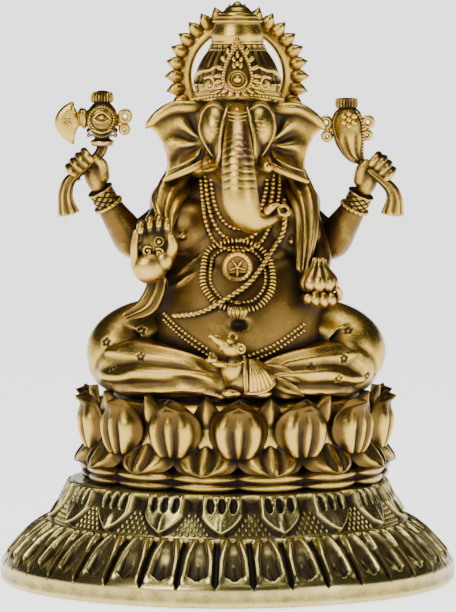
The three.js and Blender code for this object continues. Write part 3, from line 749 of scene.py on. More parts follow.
class MakePlinth(bpy.types.Operator):
    """Builds the plinth: a leaf shoulder, a fluted foot with a brushed rim, and its hollow"""

    bl_idname = "statuette.plinth"
    bl_label = "Plinth"

    def execute(self, context):
        sizes = context.scene.statuette_sizes
        shoulder = [[2.35, 17.8], [10, 17.8], [18, 17.8], [24, 17.8]]
        back = [[30.0, 9.9], [27.5, 12.5], [24.7, 14.8], [15, 14.8], [5, 14.8], [5, 10], [2.35, 10]]
        band = through(LEAF_BAND, 58)
        profile = np.vstack([back[::-1], band[::-1], shoulder[::-1]])
        start, stop, whole = len(back), len(back) + len(band), len(profile)
        relief = leaf_relief(sizes.leaves, sizes.relief)

        def shoulder_push(angle, t):
            row = t * whole
            return relief(angle, np.clip((stop - 1 - row) / (stop - 1 - start), 0,
                1)) * (row >= start - 0.5)

        collar = revolved_ring(profile, sizes.leaves * 52, relief=shoulder_push)
        make_piece(
            "plinth_shoulder", joined([collar, stipples(sizes.leaves)]), metal("green"), ["plinth"],
            shift=0, crease=60,
        )
        inner = [[35.6, 0.4], [35.6, 2.3], [33.6, 2.5], [33.6, 4.8], [31.8, 7.2], [29.5, 9.5],
            [30.2, 10.6]]
        foot = through(FLUTE_BAND, 78)
        rest = len(inner)
        foot_relief = flute_relief(sizes.flutes, sizes.relief)
        profile = np.vstack([inner, foot])
        total = len(profile)

        def foot_push(angle, t):
            row = t * total
            return foot_relief(angle, np.clip((row - rest) / (len(foot) - 1), 0, 1)) * (row > rest - 0.5)

        base = revolved_ring(profile, sizes.flutes * 28, relief=foot_push)
        make_piece("plinth_foot", base, metal("green"), ["plinth"], shift=0, crease=60)
        return {"FINISHED"}


class FinishHardware(bpy.types.Operator):
    """Gives the felt pad, the washer and the screw their materials; their solids are kept"""

    bl_idname = "statuette.hardware"
    bl_label = "Hidden hardware"

    def execute(self, context):
        for node, kind in (("base_pad", "felt"), ("washer", "steel"), ("fixing_screw", "steel")):
            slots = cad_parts[node].data.materials
            slots.clear()
            slots.append(metal(kind))
        return {"FINISHED"}


# ---------------------------------------------------------------- lotus


def leaf_grid(width, height_line, thickness, ridges, curl, rows, columns):
    """One petal as a closed shell.
    s runs across from -1 to 1, t from foot to tip. The middle line is a curve of [r, z] points;
    the sides lie width(t) s away and fall back by curl(t) s^2; the outer face gains ridges(s, t)
    and the inner face lies thickness behind it, so that the rims close."""
    t = (1 - np.cos(np.linspace(0.02, np.pi - 0.02, rows))) / 2
    line = through(height_line, 200)
    r = np.interp(t, np.linspace(0, 1, 200), line[:, 0])[:, None]
    z = np.interp(t, np.linspace(0, 1, 200), line[:, 1])[:, None]
    around = np.linspace(0, 2 * np.pi, columns, endpoint=False)[None]
    s, face = np.sin(around), np.cos(around)
    front = np.sign(face) * np.abs(face) ** 0.6
    half = width(t)[:, None]
    tt = t[:, None]
    shape = 1 - np.abs(s) ** 2.4 * 0.35
    depth = thickness * 0.5 * front * shape + np.where(face > 0, ridges(s, tt), 0) * smooth_step(0,
        0.35, face)
    slope = np.gradient(line, axis=0)
    normal = unit(np.stack([slope[:, 1], -slope[:, 0]], -1))
    normal = normal * np.sign(normal[:, 0].sum())
    nr = np.interp(t, np.linspace(0, 1, 200), normal[:, 0])[:, None]
    nz = np.interp(t, np.linspace(0, 1, 200), normal[:, 1])[:, None]
    out = r + nr * depth - curl(tt) * s**2
    up = z + nz * depth
    turn = s * half / np.maximum(r, 1)
    points = np.stack([out * np.sin(turn), -out * np.cos(turn), up + 0 * turn], -1)
    return closed_grid(points)


def upper_petal(depth):
    """An egg-shaped petal that leans out to its tip: a narrow ridge between two broad fingers."""

    def width(t):
        return 5.3 * np.sin(np.pi * t**0.92) ** (0.5 + 0.2 * t)

    def ridges(s, t):
        fingers = np.exp(-((s / 0.15) ** 2)) + np.exp(-(((np.abs(s) - 0.53) / 0.23) ** 4))
        rise = smooth_step(0.0, 0.12, t) * smooth_step(0.88, 0.5, t)
        hood = 0.45 * smooth_step(0.72, 0.95, t)
        return depth * (1.05 * fingers * rise + hood)

    line = [[24.3, 23.7], [25.4, 25.6], [26.0, 27.9], [26.2, 30.1], [26.5, 31.9], [27.3, 33.2]]
    return leaf_grid(width, line, 1.5, ridges,
        lambda t: 1.5 * smooth_step(0, 0.5, t) * (1 - 0.3 * t), 56, 64)


def lower_petal(depth):
    """A shell that spreads out and down to a rounded lip, its ribs meeting at the lip's middle."""

    def width(t):
        return 5.95 * np.clip(t / 0.25, 0,
            1) ** 0.5 * np.sqrt(np.clip(1 - np.clip((t - 0.4) / 0.6, 0, 1) ** 2.6, 0, 1))

    def ridges(s, t):
        ribs = np.exp(-((s / 0.17) ** 4)) + np.exp(-(((np.abs(s) - 0.52) / 0.23) ** 4))
        fade = smooth_step(0.97, 0.8, t) * smooth_step(0.0, 0.15, t)
        return depth * (0.8 * ribs - 0.2) * fade + depth * 0.3 * smooth_step(0.8, 0.95, t)

    line = [[23.4, 25.4], [24.3, 24.2], [25.4, 22.8], [26.4, 21.4], [27.0, 20.3]]
    return leaf_grid(width, line, 1.5, ridges, lambda t: 0.4 + 0.7 * t, 50, 72)


def inner_petal():
    """A small pointed petal behind the gap between two upper ones."""

    def width(t):
        return 3.0 * np.cos(np.pi / 2 * t) ** 0.8

    line = [[23.3, 28.5], [24.0, 31.0], [24.3, 33.9]]
    keel = lambda s, t: 0.35 * np.exp(-((s / 0.25) ** 2)) * smooth_step(0, 0.3, t)
    return leaf_grid(width, line, 1.1, keel, lambda t: 0.6 + 0 * t, 20, 28)


def lip_profile(petals):
    """The double rolled edge under the lower petals, one round lobe to a petal."""

    def push(angle, t):
        lobe = np.abs(np.sin(petals * (angle + np.pi / petals) / 2 + np.pi / 2))
        return (1.0 * lobe**0.55 - 0.75) * smooth_step(0.05, 0.2, t) * smooth_step(0.98, 0.8, t)

    edge = [[22.6, 18.12], [25.6, 18.12], [26.1, 18.3], [26.35, 18.8], [26.1, 19.3], [25.85, 19.45],
        [26.2, 19.65],
            [26.55, 20.1], [26.4, 20.7], [25.8, 21.2], [24.6, 21.6], [22.6, 22.0]]
    line = through(edge, 44)
    return np.vstack([line, [[21.5, 21.8], [21.5, 18.4]]]), push


class MakeLotus(bpy.types.Operator):
    """Builds the lotus: its seat and three rows of petals"""

    bl_idname = "statuette.lotus"
    bl_label = "Lotus"

    def execute(self, context):
        sizes = context.scene.statuette_sizes
        count, depth = sizes.petals, sizes.relief
        seat = revolved(
            [[0, 18.2], [2.5, 18.2], [21, 18.2], [22.4, 18.6], [22.2, 21], [23.4, 23], [24.4, 25],
            [24.0, 27.5],
             [23.4, 30], [23.2, 31.8], [22.6, 32.5], [20, 32.6], [2, 32.6], [0.01, 32.6]],
            140,
        )
        # The seat and the upper and inner petals take the darker "shaded" brass: painted shade under the
        # figure.
        make_piece("lotus_seat_casting", seat, metal("shaded"), ["lotus_seat"])
        start = 1.2
        upper = ringed(upper_petal(depth), count, start)
        make_piece("upper_petals", upper, metal("shaded"), ["lotus_upper_petals"])
        profile, push = lip_profile(count)
        lip = revolved_ring(profile, count * 30, relief=lambda a,
            t: push(a - np.radians(start), np.clip(t * 1.045, 0, 1)))
        lower = joined([ringed(lower_petal(depth), count, start + 180 / count), lip])
        make_piece("lower_petals", lower, metal("warm"), ["lotus_lower_petals"])
        inner = ringed(inner_petal(), count, start + 180 / count)
        make_piece("inner_petals", inner, metal("shaded"), ["lotus_inner_petals"])
        return {"FINISHED"}


# ---------------------------------------------------------------- body

# Sections of the body, bottom to top: [height, middle x, half width, front y, back y].
BODY = [
    [33, 0.3, 11, -9, 10.6], [36, 0.5, 14.6, -15, 12.4], [40, 0.6, 16, -18, 12.9],
    [44, 0.7, 15.9, -18.7, 12.4],
    [48.5, 0.7, 15.4, -18, 11.3], [53, 0.7, 14.7, -15.6, 10.2], [57, 0.6, 14.2, -12.8, 9.4],
    [61, 0.6, 13.8, -10.6, 8.8], [65, 0.5, 12.6, -8.6, 7.9], [68, 0.5, 10, -7.2, 6.2],
    [70.4, 0.4, 7, -6.6, 3.8],
    [73, 0.4, 5.6, -7, 2],
]
# Middle and radii of each breast.
BREASTS = (((-7.4, -5.6, 60.8), (6.0, 5.2, 5.4)), ((9.0, -5.6, 60.2), (5.8, 5.2, 5.4)))


def body_at(z):
    """Middle x, half width, front y and back y of the body at heights z."""
    rows = through(BODY, 300)
    return [np.interp(z, rows[:, 0], rows[:, k]) for k in range(1, 5)]


def body_front(x, z, lift=0.0):
    """Points on the body's front at x and z, lifted off it: the section is an ellipse."""
    x, z = np.broadcast_arrays(np.asarray(x, float), np.asarray(z, float))
    middle, half, front, back = body_at(z)
    deep = np.sqrt(np.clip(1 - ((x - middle) / half) ** 2, 0, 1))
    y = (front + back) / 2 - deep * (back - front) / 2
    for (cx, cy, cz), (rx, ry, rz) in BREASTS:
        left = 1 - ((x - cx) / rx) ** 2 - ((z - cz) / rz) ** 2
        y = np.minimum(y, np.where(left > 0, cy - ry * np.sqrt(np.clip(left, 0, 1)), 99))
    return np.stack([x, y - lift, z], -1)


def belly_skin():
    """The body: an ellipse whose middle, width and depth follow BODY, with a sunk navel and a
    crease above the belly."""
    rows, columns = 90, 120
    z = np.linspace(BODY[0][0], BODY[-1][0], rows)[:, None]
    middle, half, front, back = (v for v in body_at(z))
    angle = np.linspace(0, 2 * np.pi, columns, endpoint=False)[None]
    c, s = np.cos(angle), np.sin(angle)
    x = middle + half * c
    y = (front + back) / 2 - (back - front) / 2 * s
    navel = np.exp(-((((x - 0.7) / 1.3) ** 2) + ((z - 45.6) / 0.8) ** 2) ** 1.5) * (s > 0)
    crease = np.exp(-(((z - 55.2 - 0.05 * x**2 / 3) / 0.7) ** 2)) * smooth_step(0.2, 0.6, s)
    spine = np.exp(-((x - 0.5) / 1.2) ** 2) * (s < 0) * smooth_step(40, 48, z)
    y = y + 1.5 * navel + 0.5 * crease - 0.8 * spine
    return closed_grid(np.stack([x, y, z + 0 * x], -1))


class MakeTorso(bpy.types.Operator):
    """Builds the body with its breasts, shoulders and neck, melted into one casting"""

    bl_idname = "statuette.torso"
    bl_label = "Torso"

    def execute(self, context):
        parts = [belly_skin(), ball((0.4, -1.5, 70), (7.4, 6.2, 5.4), detail=40)]
        parts += [ball(at, radii, detail=48) for at, radii in BREASTS]
        parts += [ball((-8.9, -10.7, 60.2), (0.7, 0.6, 0.7)), ball((9.6, -10.7, 59.3), (0.7, 0.6, 0.7))]
        parts += [ball((-10.4, 0.4, 65.2), (4.4, 5.6, 4.2), (0, -20, 0)),
            ball((10.6, 0.4, 64.8), (4.2, 5.6, 4.2), (0, 20, 0))]
        for line in ([[-11.4, 52.6], [-8.6, 54.4], [-5.6, 57.0]],
            [[-11.8, 50.6], [-9.0, 52.4], [-6.6, 54.2]]):
            laid = body_front(*np.array(line).T, -0.25)
            parts.append(tube(laid, [0.3, 0.65, 0.3], rows=40, columns=16))
        make_piece("torso_casting", fused(joined(parts), 0.28, 4), metal("warm"), ["torso"])
        return {"FINISHED"}


# ---------------------------------------------------------------- legs


def punched(skin, spots, size=0.5, depth=0.34):
    """Presses small five-petalled flowers into the front of a skin, each at its [x, z]: a corner
    sinks by how near it lies to the nearest of five petals set round the middle."""
    corners, faces = skin
    normal = normals_of(corners, faces)
    corners = corners.copy()
    for x, z in spots:
        close = np.flatnonzero(np.hypot(corners[:, 0] - x, corners[:, 2] - z) < 0.5)
        middle = close[np.argmin(corners[close, 1])]
        outwards = normal[middle]
        side = unit(np.cross(outwards, [0, 0, 1.0]))
        rise = np.cross(side, outwards)
        away = corners - corners[middle]
        near = np.linalg.norm(away, axis=1) < 2.2
        across, up = away[near] @ side, away[near] @ rise
        turn = np.arange(5) * 2 * np.pi / 5 + np.pi / 2
        gap = np.hypot(across[:, None] - size * np.cos(turn), up[:, None] - size * np.sin(turn)).min(1)
        corners[near] -= (depth * np.exp(-((gap / (size * 0.55)) ** 4)))[:, None] * outwards
    return corners, faces


def folds(lines, height, flipped):
    """Relief of cloth folds on a limb. Each line is (rise at the start, rise at the end, start u,
    end u, width, weight), with the rise in degrees above the front: a ridge with a trough below
    it that fades in and out along u. flipped is for a limb that runs towards -X."""

    def push(u, v):
        rise = np.pi - v if flipped else v
        total = 0
        for start, end, low, high, wide, weight in lines:
            middle = np.radians(start + (end - start) * np.clip((u - low) / (high - low), 0, 1))
            off = np.angle(np.exp(1j * (rise - middle))) / np.radians(wide)
            fade = smooth_step(low - 0.02, low + 0.15, u) * smooth_step(high, high - 0.2, u)
            total = total + weight * fade * (np.exp(-(off**2)) - 0.7 * np.exp(-((off + 1.5) ** 2)))
        return height * total

    return push


class MakeLegs(bpy.types.Operator):
    """Builds the crossed legs in their folded cloth, the right foot and the hanging pleats"""

    bl_idname = "statuette.legs"
    bl_label = "Crossed legs"

    def execute(self, context):
        thigh = [[-5, 3, 41.5], [-10.5, -1.5, 42.6], [-15.8, -5, 42.2], [-19.2, -7.5, 40.4],
            [-18.6, -10, 38.4]]
        shin = [[-19.6, -7, 38.3], [-16.6, -11.4, 37.8], [-12, -15.4, 37.3], [-7, -18.2, 36.6],
            [-2.2, -20, 35.4]]
        thigh_folds = [
            (86, 64, 0.0, 0.6, 11, 0.9), (62, 38, 0.0, 0.72, 10, 1.0), (36, 18, 0.0, 0.8, 10, 0.8),
            (12, 2, 0.05, 0.6, 10, 0.7),
        ]
        shin_folds = [
            (52, 86, 0.2, 1.0, 12, 0.8), (26, 60, 0.08, 0.9, 13, 1.0), (4, 28, 0.3, 1.0, 13, 0.8),
            (-20, 2, 0.05, 0.8, 12, 0.9),
            (-44, -22, 0.25, 1.0, 12, 0.8),
        ]

        def leg(side, thigh_line, shin_line, flowers, foot, name, node):
            flip = np.array([side, 1, 1])
            thigh_skin = tube(
                np.array(thigh_line) * flip, [5.6, 6.3, 6.5, 6.2, 5.0], 1, (0, 0, 1), 110, 120,
                relief=folds(thigh_folds, 0.8, side > 0)
            )
            shin_skin = tube(
                np.array(shin_line) * flip, [5.5, 5.6, 4.9, 3.8, 2.4], 0.94, (0, 0, 1), 110, 110,
                relief=folds(shin_folds, 0.9, side < 0)
            )
            whole = fused(joined([thigh_skin, shin_skin, *foot]), 0.2, 3)
            make_piece(name, punched(whole, flowers), metal("rubbed"), [node])

        toes = [
            ball((-4.6 + 0.62 * i, -21.6 - 0.2 * i, 34.5 - 0.16 * i), (0.52, 1.2 - 0.1 * i, 0.46),
            (0, 0, -30))
            for i in range(5)
        ]
        right_foot = [tube([[-8.5, -19, 35.6], [-6, -20.4, 35], [-3.4, -21.3, 34.6]], [1.9, 1.6, 1.2],
            0.7, (0, 0, 1), 30, 28)]
        leg(
            1, thigh, shin,
            [(-22.3, 42.4), (-16.4, 40.4), (-21.0, 38.2), (-15.6, 44.6)],
            right_foot + toes, "right_leg_casting", "right_leg",
        )
        shift = np.array([0.4, 0, 0])
        leg(
            -1, np.array(thigh) - shift, np.array(shin) * [0.96, 0.95, 0.99] - shift,
            [(19.0, 39.7), (17.9, 36.0), (22.9, 36.3), (12.9, 39.0), (18.9, 44.6)],
            [], "left_leg_casting", "left_leg",
        )
        upper = tube(
            [[2.8, -18.4, 37.8], [5.6, -19.8, 37.6], [8.6, -20.4, 36.8], [11.2, -19.8, 36.2]],
            [0.7, 1.3, 1.5, 0.5], 0.42,
            (0, 1, 0.2), 50, 40, relief=lambda u,
            v: 0.22 * np.cos(4 * v) * smooth_step(0, 0.2, u) * smooth_step(1, 0.8, u),
        )
        lower = tube(
            [[3.2, -19.4, 36.0], [6.2, -21.0, 35.6], [9, -21.8, 34.8], [11.3, -21.6, 33.9]],
            [0.8, 1.5, 1.3, 0.35], 0.45,
            (0, 1, 0.2), 50, 40, relief=lambda u,
            v: 0.2 * np.cos(5 * v + 2 * u) * smooth_step(0, 0.2, u) * smooth_step(1, 0.8, u),
        )
        make_piece("cloth_pleats", joined([upper, lower]), metal("warm"), ["dhoti_pleats"])
        return {"FINISHED"}


# ---------------------------------------------------------------- head


def trunk_relief(u, v):
    """Fine ring wrinkles round the middle of the trunk, each a narrow groove that wavers."""
    wave = np.mod(u * 24 + 0.12 * np.sin(2 * v) + 0.07 * np.sin(5 * v + 9 * u), 1)
    groove = np.exp(-(((wave - 0.5) / 0.15) ** 2))
    fade = smooth_step(0.2, 0.3, u) * smooth_step(0.62, 0.52, u)
    return -0.08 * groove * fade


def ear_skin(side):
    """An ear as a curved sheet with a rolled upper rim.
    t runs from the root to the rim and s from the top edge to the bottom; the rim is a curve
    through [x, z] points, and folds fan out from a point near the root."""
    rim = through(
        [[-4.6, 82.6, 0], [-7.4, 82.6, 0], [-10.4, 82.4, 0], [-12.8, 81.0, 0], [-14.5, 78.8, 0],
        [-13.2, 77.2, 0],
         [-12.0, 74.6, 0], [-11.6, 72.0, 0], [-12.0, 69.2, 0], [-9.2, 70.3, 0], [-6.2, 71.7, 0]], 96
    )[:, :2]
    root = through([[-4.4, 81.6, 0], [-4.4, 77, 0], [-4.8, 72.4, 0]], 96)[:, :2]
    s = np.linspace(0, 1, 96)[:, None]
    around = np.linspace(0, 2 * np.pi, 104, endpoint=False)
    t = ((1 - np.cos(around)) / 2)[None]
    front = np.sin(around)[None]
    flat = root[:, None] * (1 - t)[..., None] + rim[:, None] * t[..., None]
    x, z = flat[..., 0], flat[..., 1]
    angle = np.arctan2(z - 76.2, -(x + 5.2))
    reach = np.hypot(z - 76.2, x + 5.2)
    fan = 0.42 * np.sin(8 * angle + 0.6 * np.sin(reach)) * smooth_step(0.8, 2.4, reach) * smooth_step(7.5,
        4.0, reach)
    dish = 0.35 * np.sin(np.pi * t) * smooth_step(0, 0.12, s) * smooth_step(1, 0.9, s)
    y = -5.6 - 1.2 * (1 - t) ** 2 + dish + fan - 1.9 * smooth_step(0.45, 0.95,
        s) - 0.5 * t * smooth_step(0.4, 0.1, s)
    thick = 0.42 * np.abs(front) ** 0.45 * np.sign(front)
    sheet = closed_grid(np.stack([x, y - thick, z], -1))
    roll = tube(
        [[-4.8, -6.2, 82.2], [-7.2, -6.5, 82.0], [-10.4, -6.7, 81.9], [-12.8, -6.9, 80.7],
        [-14.5, -6.8, 79.1], [-15.1, -6.4, 78.4]],
        [0.6, 1.0, 1.05, 0.95, 0.7, 0.3], 0.8, (0, 1, 0), 90, 28,
    )
    lip = tube([[-12.0, -7.9, 69.6], [-9.2, -8.3, 70.7], [-6.6, -8.4, 71.9], [-5.2, -8.0, 72.9]],
        [0.45, 0.6, 0.62, 0.4], 0.6, (0, 1, 0), 60, 20)
    line = tube([[-11.2, -8.0, 71.4], [-8.8, -8.3, 72.3], [-6.8, -8.2, 73.4]], [0.16, 0.26, 0.2], 1,
        (0, 1, 0), 40, 12)
    corners, faces = fused(joined([sheet, roll, lip, line]), 0.14, 2)
    if side > 0:
        corners, faces = mirrored((corners, faces), 0.15)
        corners = corners - [0, 0, 0.3]
    return corners, faces


def eye_lobe(side):
    """The smooth tall oval over an eye in its fine rim, broad at the brow and narrow at the cheek."""
    x = 0.35 + side * 3.45
    taper = lambda way: 1 - 0.3 * smooth_step(0.2, -1.0, way[..., 2])
    egg = ball((x, -10.6, 77.8), (3.2, 5.0, 5.3), (0, side * 7, 0), 72, taper)
    a = np.linspace(0, 2 * np.pi, 40, endpoint=False)
    wide, tall = 2.85 * np.cos(a), 4.7 * np.sin(a)
    wide = wide * (1 - 0.3 * smooth_step(0.2, -1.0, np.sin(a))) + side * 0.12 * tall
    rim = np.stack([x + wide, -13.4 - 0.25 * np.cos(a) ** 2, 77.8 + tall], -1)
    return joined([egg, tube(np.vstack([rim, rim[:3]]), 0.2, 1, (0, 1, 0), 90, 12)])


def eye_lines(side):
    """The engraved lid of the closed eye: fine arched ridges low on the brow."""
    x = 0.35 + side * 3.6
    lines = []
    for h, half, lift in ((80.1, 1.35, 0.0), (79.5, 1.5, 0.05), (78.9, 1.4, 0.05), (78.2, 1.1, 0)):
        way = np.linspace(-1, 1, 7)
        px = x + half * way
        pz = h + 0.35 * (1 - way**2) * (1 if h > 79 else -1)
        inside = np.clip(1 - ((px - x) / 2.75) ** 2 - ((pz - 77.6) / 5.2) ** 2, 0.05, 1)
        py = -10.55 - 5.0 * np.sqrt(inside) - lift
        lines.append(tube(np.stack([px, py, pz], -1), [0.05, 0.12, 0.14, 0.14, 0.14, 0.12, 0.05], 1,
            (0, 1, 0), 30, 8))
    lines.append(ball((x, -15.3, 79.2), (0.42, 0.35, 0.28), detail=12))
    return lines


def cheek_line(side):
    """The raised line that runs down inside the eye lobe to the tusk."""
    x = 0.35
    line = [[x + side * 1.7, -14.0, 82.0], [x + side * 2.35, -15.7, 79.6], [x + side * 2.8, -16.4, 76.6],
            [x + side * 2.9, -16.2, 74.2], [x + side * 3.7, -14.4, 71.9]]
    return tube(line, [0.25, 0.42, 0.45, 0.45, 0.35], 1, (0, 1, 0), 60, 14)


def brow_marks():
    """Three short bars across the top of the trunk, with a drop over them."""
    bars = [
        tube([[-half, -14.85 - 0.75 * i, h + 0.2], [0, -15.6 - 0.75 * i, h],
        [half, -14.85 - 0.75 * i, h + 0.2]], [0.14, 0.24, 0.14], 1, (0, 1, 0), 24, 10)
        for i, (h, half) in enumerate(((81.1, 1.6), (80.5, 1.5), (79.9, 1.3)))
    ]
    marks = joined(bars + [ball((0, -14.7, 81.8), (0.4, 0.4, 0.55), detail=14)])
    return moved(marks, (0.35, 0, 0))


class MakeHead(bpy.types.Operator):
    """Builds the head, the trunk with its wrinkles, the tusks and the ears"""

    bl_idname = "statuette.head"
    bl_label = "Head"

    def execute(self, context):
        skull = [
            ball((0.4, -5.2, 78.6), (6.7, 7.2, 7.2), detail=56),
            ball((0.4, -4.6, 81.2), (7.1, 5.4, 3.4), detail=40),
            ball((-6.2, -4.0, 71.4), (1.8, 3.0, 1.8), detail=24),
            ball((0.4, -8.2, 72.6), (5.0, 5.6, 4.2), detail=48),
            ball((0.35, -8.3, 79.2), (6.3, 5.2, 5.0), detail=56),
            ball((0.35, -8.6, 75.4), (4.9, 5.2, 5.4), detail=56),
            ball((0.35, -13.0, 76.0), (4.1, 4.2, 6.2), detail=56),
        ]
        for side in (-1, 1):
            skull += [eye_lobe(side), cheek_line(side),
                ball((0.35 + side * 4.4, -11.0, 72.6), (1.5, 2.8, 1.5), detail=32)]
        fine = [line for side in (-1, 1) for line in eye_lines(side)]
        made = joined([fused(joined(skull), 0.15, 3), *fine, brow_marks()])
        make_piece("head_casting", made, metal("rubbed"), ["head"])

        line = [[0.35, -11.6, 81.2], [0.35, -14.6, 79.4], [0.4, -17.2, 76.6], [0.5, -19.4, 73],
            [0.7, -20.5, 69],
                [1.1, -20.7, 65.9], [2.7, -20.0, 63.5], [5.0, -18.8, 63.3], [6.9, -18.4, 64.1],
                [8.15, -19.6, 64.9]]
        trunk = tube(line, [1.75, 2.0, 2.35, 2.75, 3.0, 3.05, 2.45, 1.45, 1.0, 0.95], 1, (0, 1, 0.35),
            190, 72, (0.4, 0.2), trunk_relief)
        ring = moved(revolved_ring(circle((0.85, 0), 0.35, 14), 40), (8.2, -20.1, 65), (1, 1, 1),
            (62, 0, 14))
        finger = tube([[5.2, -19.4, 64.8], [6.3, -19.8, 65.6], [7.3, -20.0, 66.0]], [0.8, 0.6, 0.25], 1,
            (0, 1, 0), 30, 20)
        make_piece("trunk_casting", joined([trunk, ring, finger]), metal("rubbed"), ["trunk"])
        left = tube([[-2.9, -13, 72.6], [-4.4, -15.4, 71.9], [-5.6, -17.2, 71.6]], [1.0, 0.85, 0.4], 1,
            (0, 0, 1), 40, 28, (0.5, 2.2))
        make_piece("right_tusk_casting", left, metal("rubbed"), ["right_tusk"])
        stub = tube([[3.8, -13, 73], [4.8, -15.6, 72.4], [5.3, -17.2, 72.1]], [1.05, 1.1, 1.0], 1,
            (0, 0, 1), 40, 28)
        make_piece("left_tusk_casting", stub, metal("rubbed"), ["left_tusk"])
        make_piece("right_ear_casting", ear_skin(-1), metal("rubbed"), ["right_ear"])
        make_piece("left_ear_casting", ear_skin(1), metal("rubbed"), ["left_ear"])
        return {"FINISHED"}


# ---------------------------------------------------------------- crown and halo

CROWN = (0.4, -3.9)  # x and y of the crown's axis


def crest_skins():
    """The crest on the crown's front: a teardrop rim of beads over a dished plate, a round jewel in
    rings, and drops like flames round it. Laid in the XZ plane, front to -Y."""
    angle = np.linspace(0, 2 * np.pi, 60, endpoint=False)
    pinch = np.sin(angle / 2) ** 2.2
    x = -3.1 * np.sin(angle) * pinch**0.35
    z = 3.6 + 5.2 * np.cos(angle) * (0.62 + 0.38 * (np.cos(angle) > 0))
    outline = np.stack([x, np.zeros(60), z], -1)
    plate = closed_grid(
        np.stack([
            np.stack([x * k, np.full(60, y), 3.4 + (z - 3.4) * k], -1)
            for k, y in ((0.05, 0.7), (1.0, 0.7), (1.06, 0.2), (1.0, -0.35), (0.86, -0.42), (0.8, -0.1),
            (0.05, -0.15))
        ])
    )
    rim = beads(outline + [0, -0.45, 0], 0.3, True, 1.0, 1.7)
    jewel = revolved([[0.01, -0.2], [1.75, -0.2], [1.75, 0.35], [1.5, 0.55], [1.25, 0.35], [1.05, 0.7],
        [0.75, 0.55], [0.6, 1.0], [0.01, 1.3]], 40)
    jewel = moved(jewel, (0, 0, 2.5), (1, 1, 1), (90, 0, 0))
    upper = [ball((0.62 * side, -0.4, z), (0.34, 0.4, 0.55), (0, 18 * side, 0), 12) for side in (-1,
        1) for z in (4.9, 6.0)]
    upper += [ball((0, -0.5, 5.2), (0.42, 0.5, 0.5), detail=12),
        ball((0, -0.4, 6.9), (0.35, 0.4, 0.7), detail=12)]
    turn = np.radians(np.linspace(28, 332, 19))
    pinch = np.sin(turn / 2) ** 2.2
    fx, fz = -3.95 * np.sin(turn) * pinch**0.3, 3.5 + 5.4 * np.cos(turn) * (0.64 + 0.36
        * (np.cos(turn) > 0))
    away = np.arctan2(fx * 1.2, fz - 3.0)
    c, s = np.cos(away), np.sin(away)
    o, i = 0 * c, 1 + 0 * c
    turns = np.stack([np.stack([c, o, s], -1), np.stack([o, i, o], -1), np.stack([-s, o, c], -1)], 1)
    flame = ball((0, 0, 0), (0.42, 0.42, 0.85), detail=12)
    flames = copies(flame, np.stack([fx, 0 * fx - 0.1, fz], -1), turns)
    tip = ball((0, -0.15, 9.3), (0.4, 0.4, 1.0), detail=14)
    return [plate, rim, jewel, flames, tip, *upper]


def scroll(middle, size, side, thick=0.3, loops=1.35):
    """A spiral rope in the XZ plane: the radius grows with the angle."""
    a = np.linspace(0.4, loops * 2 * np.pi, 26)
    r = size * (a / a[-1]) ** 0.8
    line = np.stack([middle[0] + side * r * np.cos(a), np.full(26, middle[1]),
        middle[2] + r * np.sin(a)], -1)
    return tube(line, np.linspace(thick * 0.7, thick, 26), 1, (0, 1, 0), 70, 12)


def on_crown(x, z, lift=0.0):
    """A point on the crown's front at x and z."""
    radius = np.interp(z, [83, 85, 88.5, 92], [7.4, 7.3, 6.4, 4.4])
    return [x, CROWN[1] - np.sqrt(max(radius**2 - (x - CROWN[0]) ** 2, 0.5)) - lift, z]


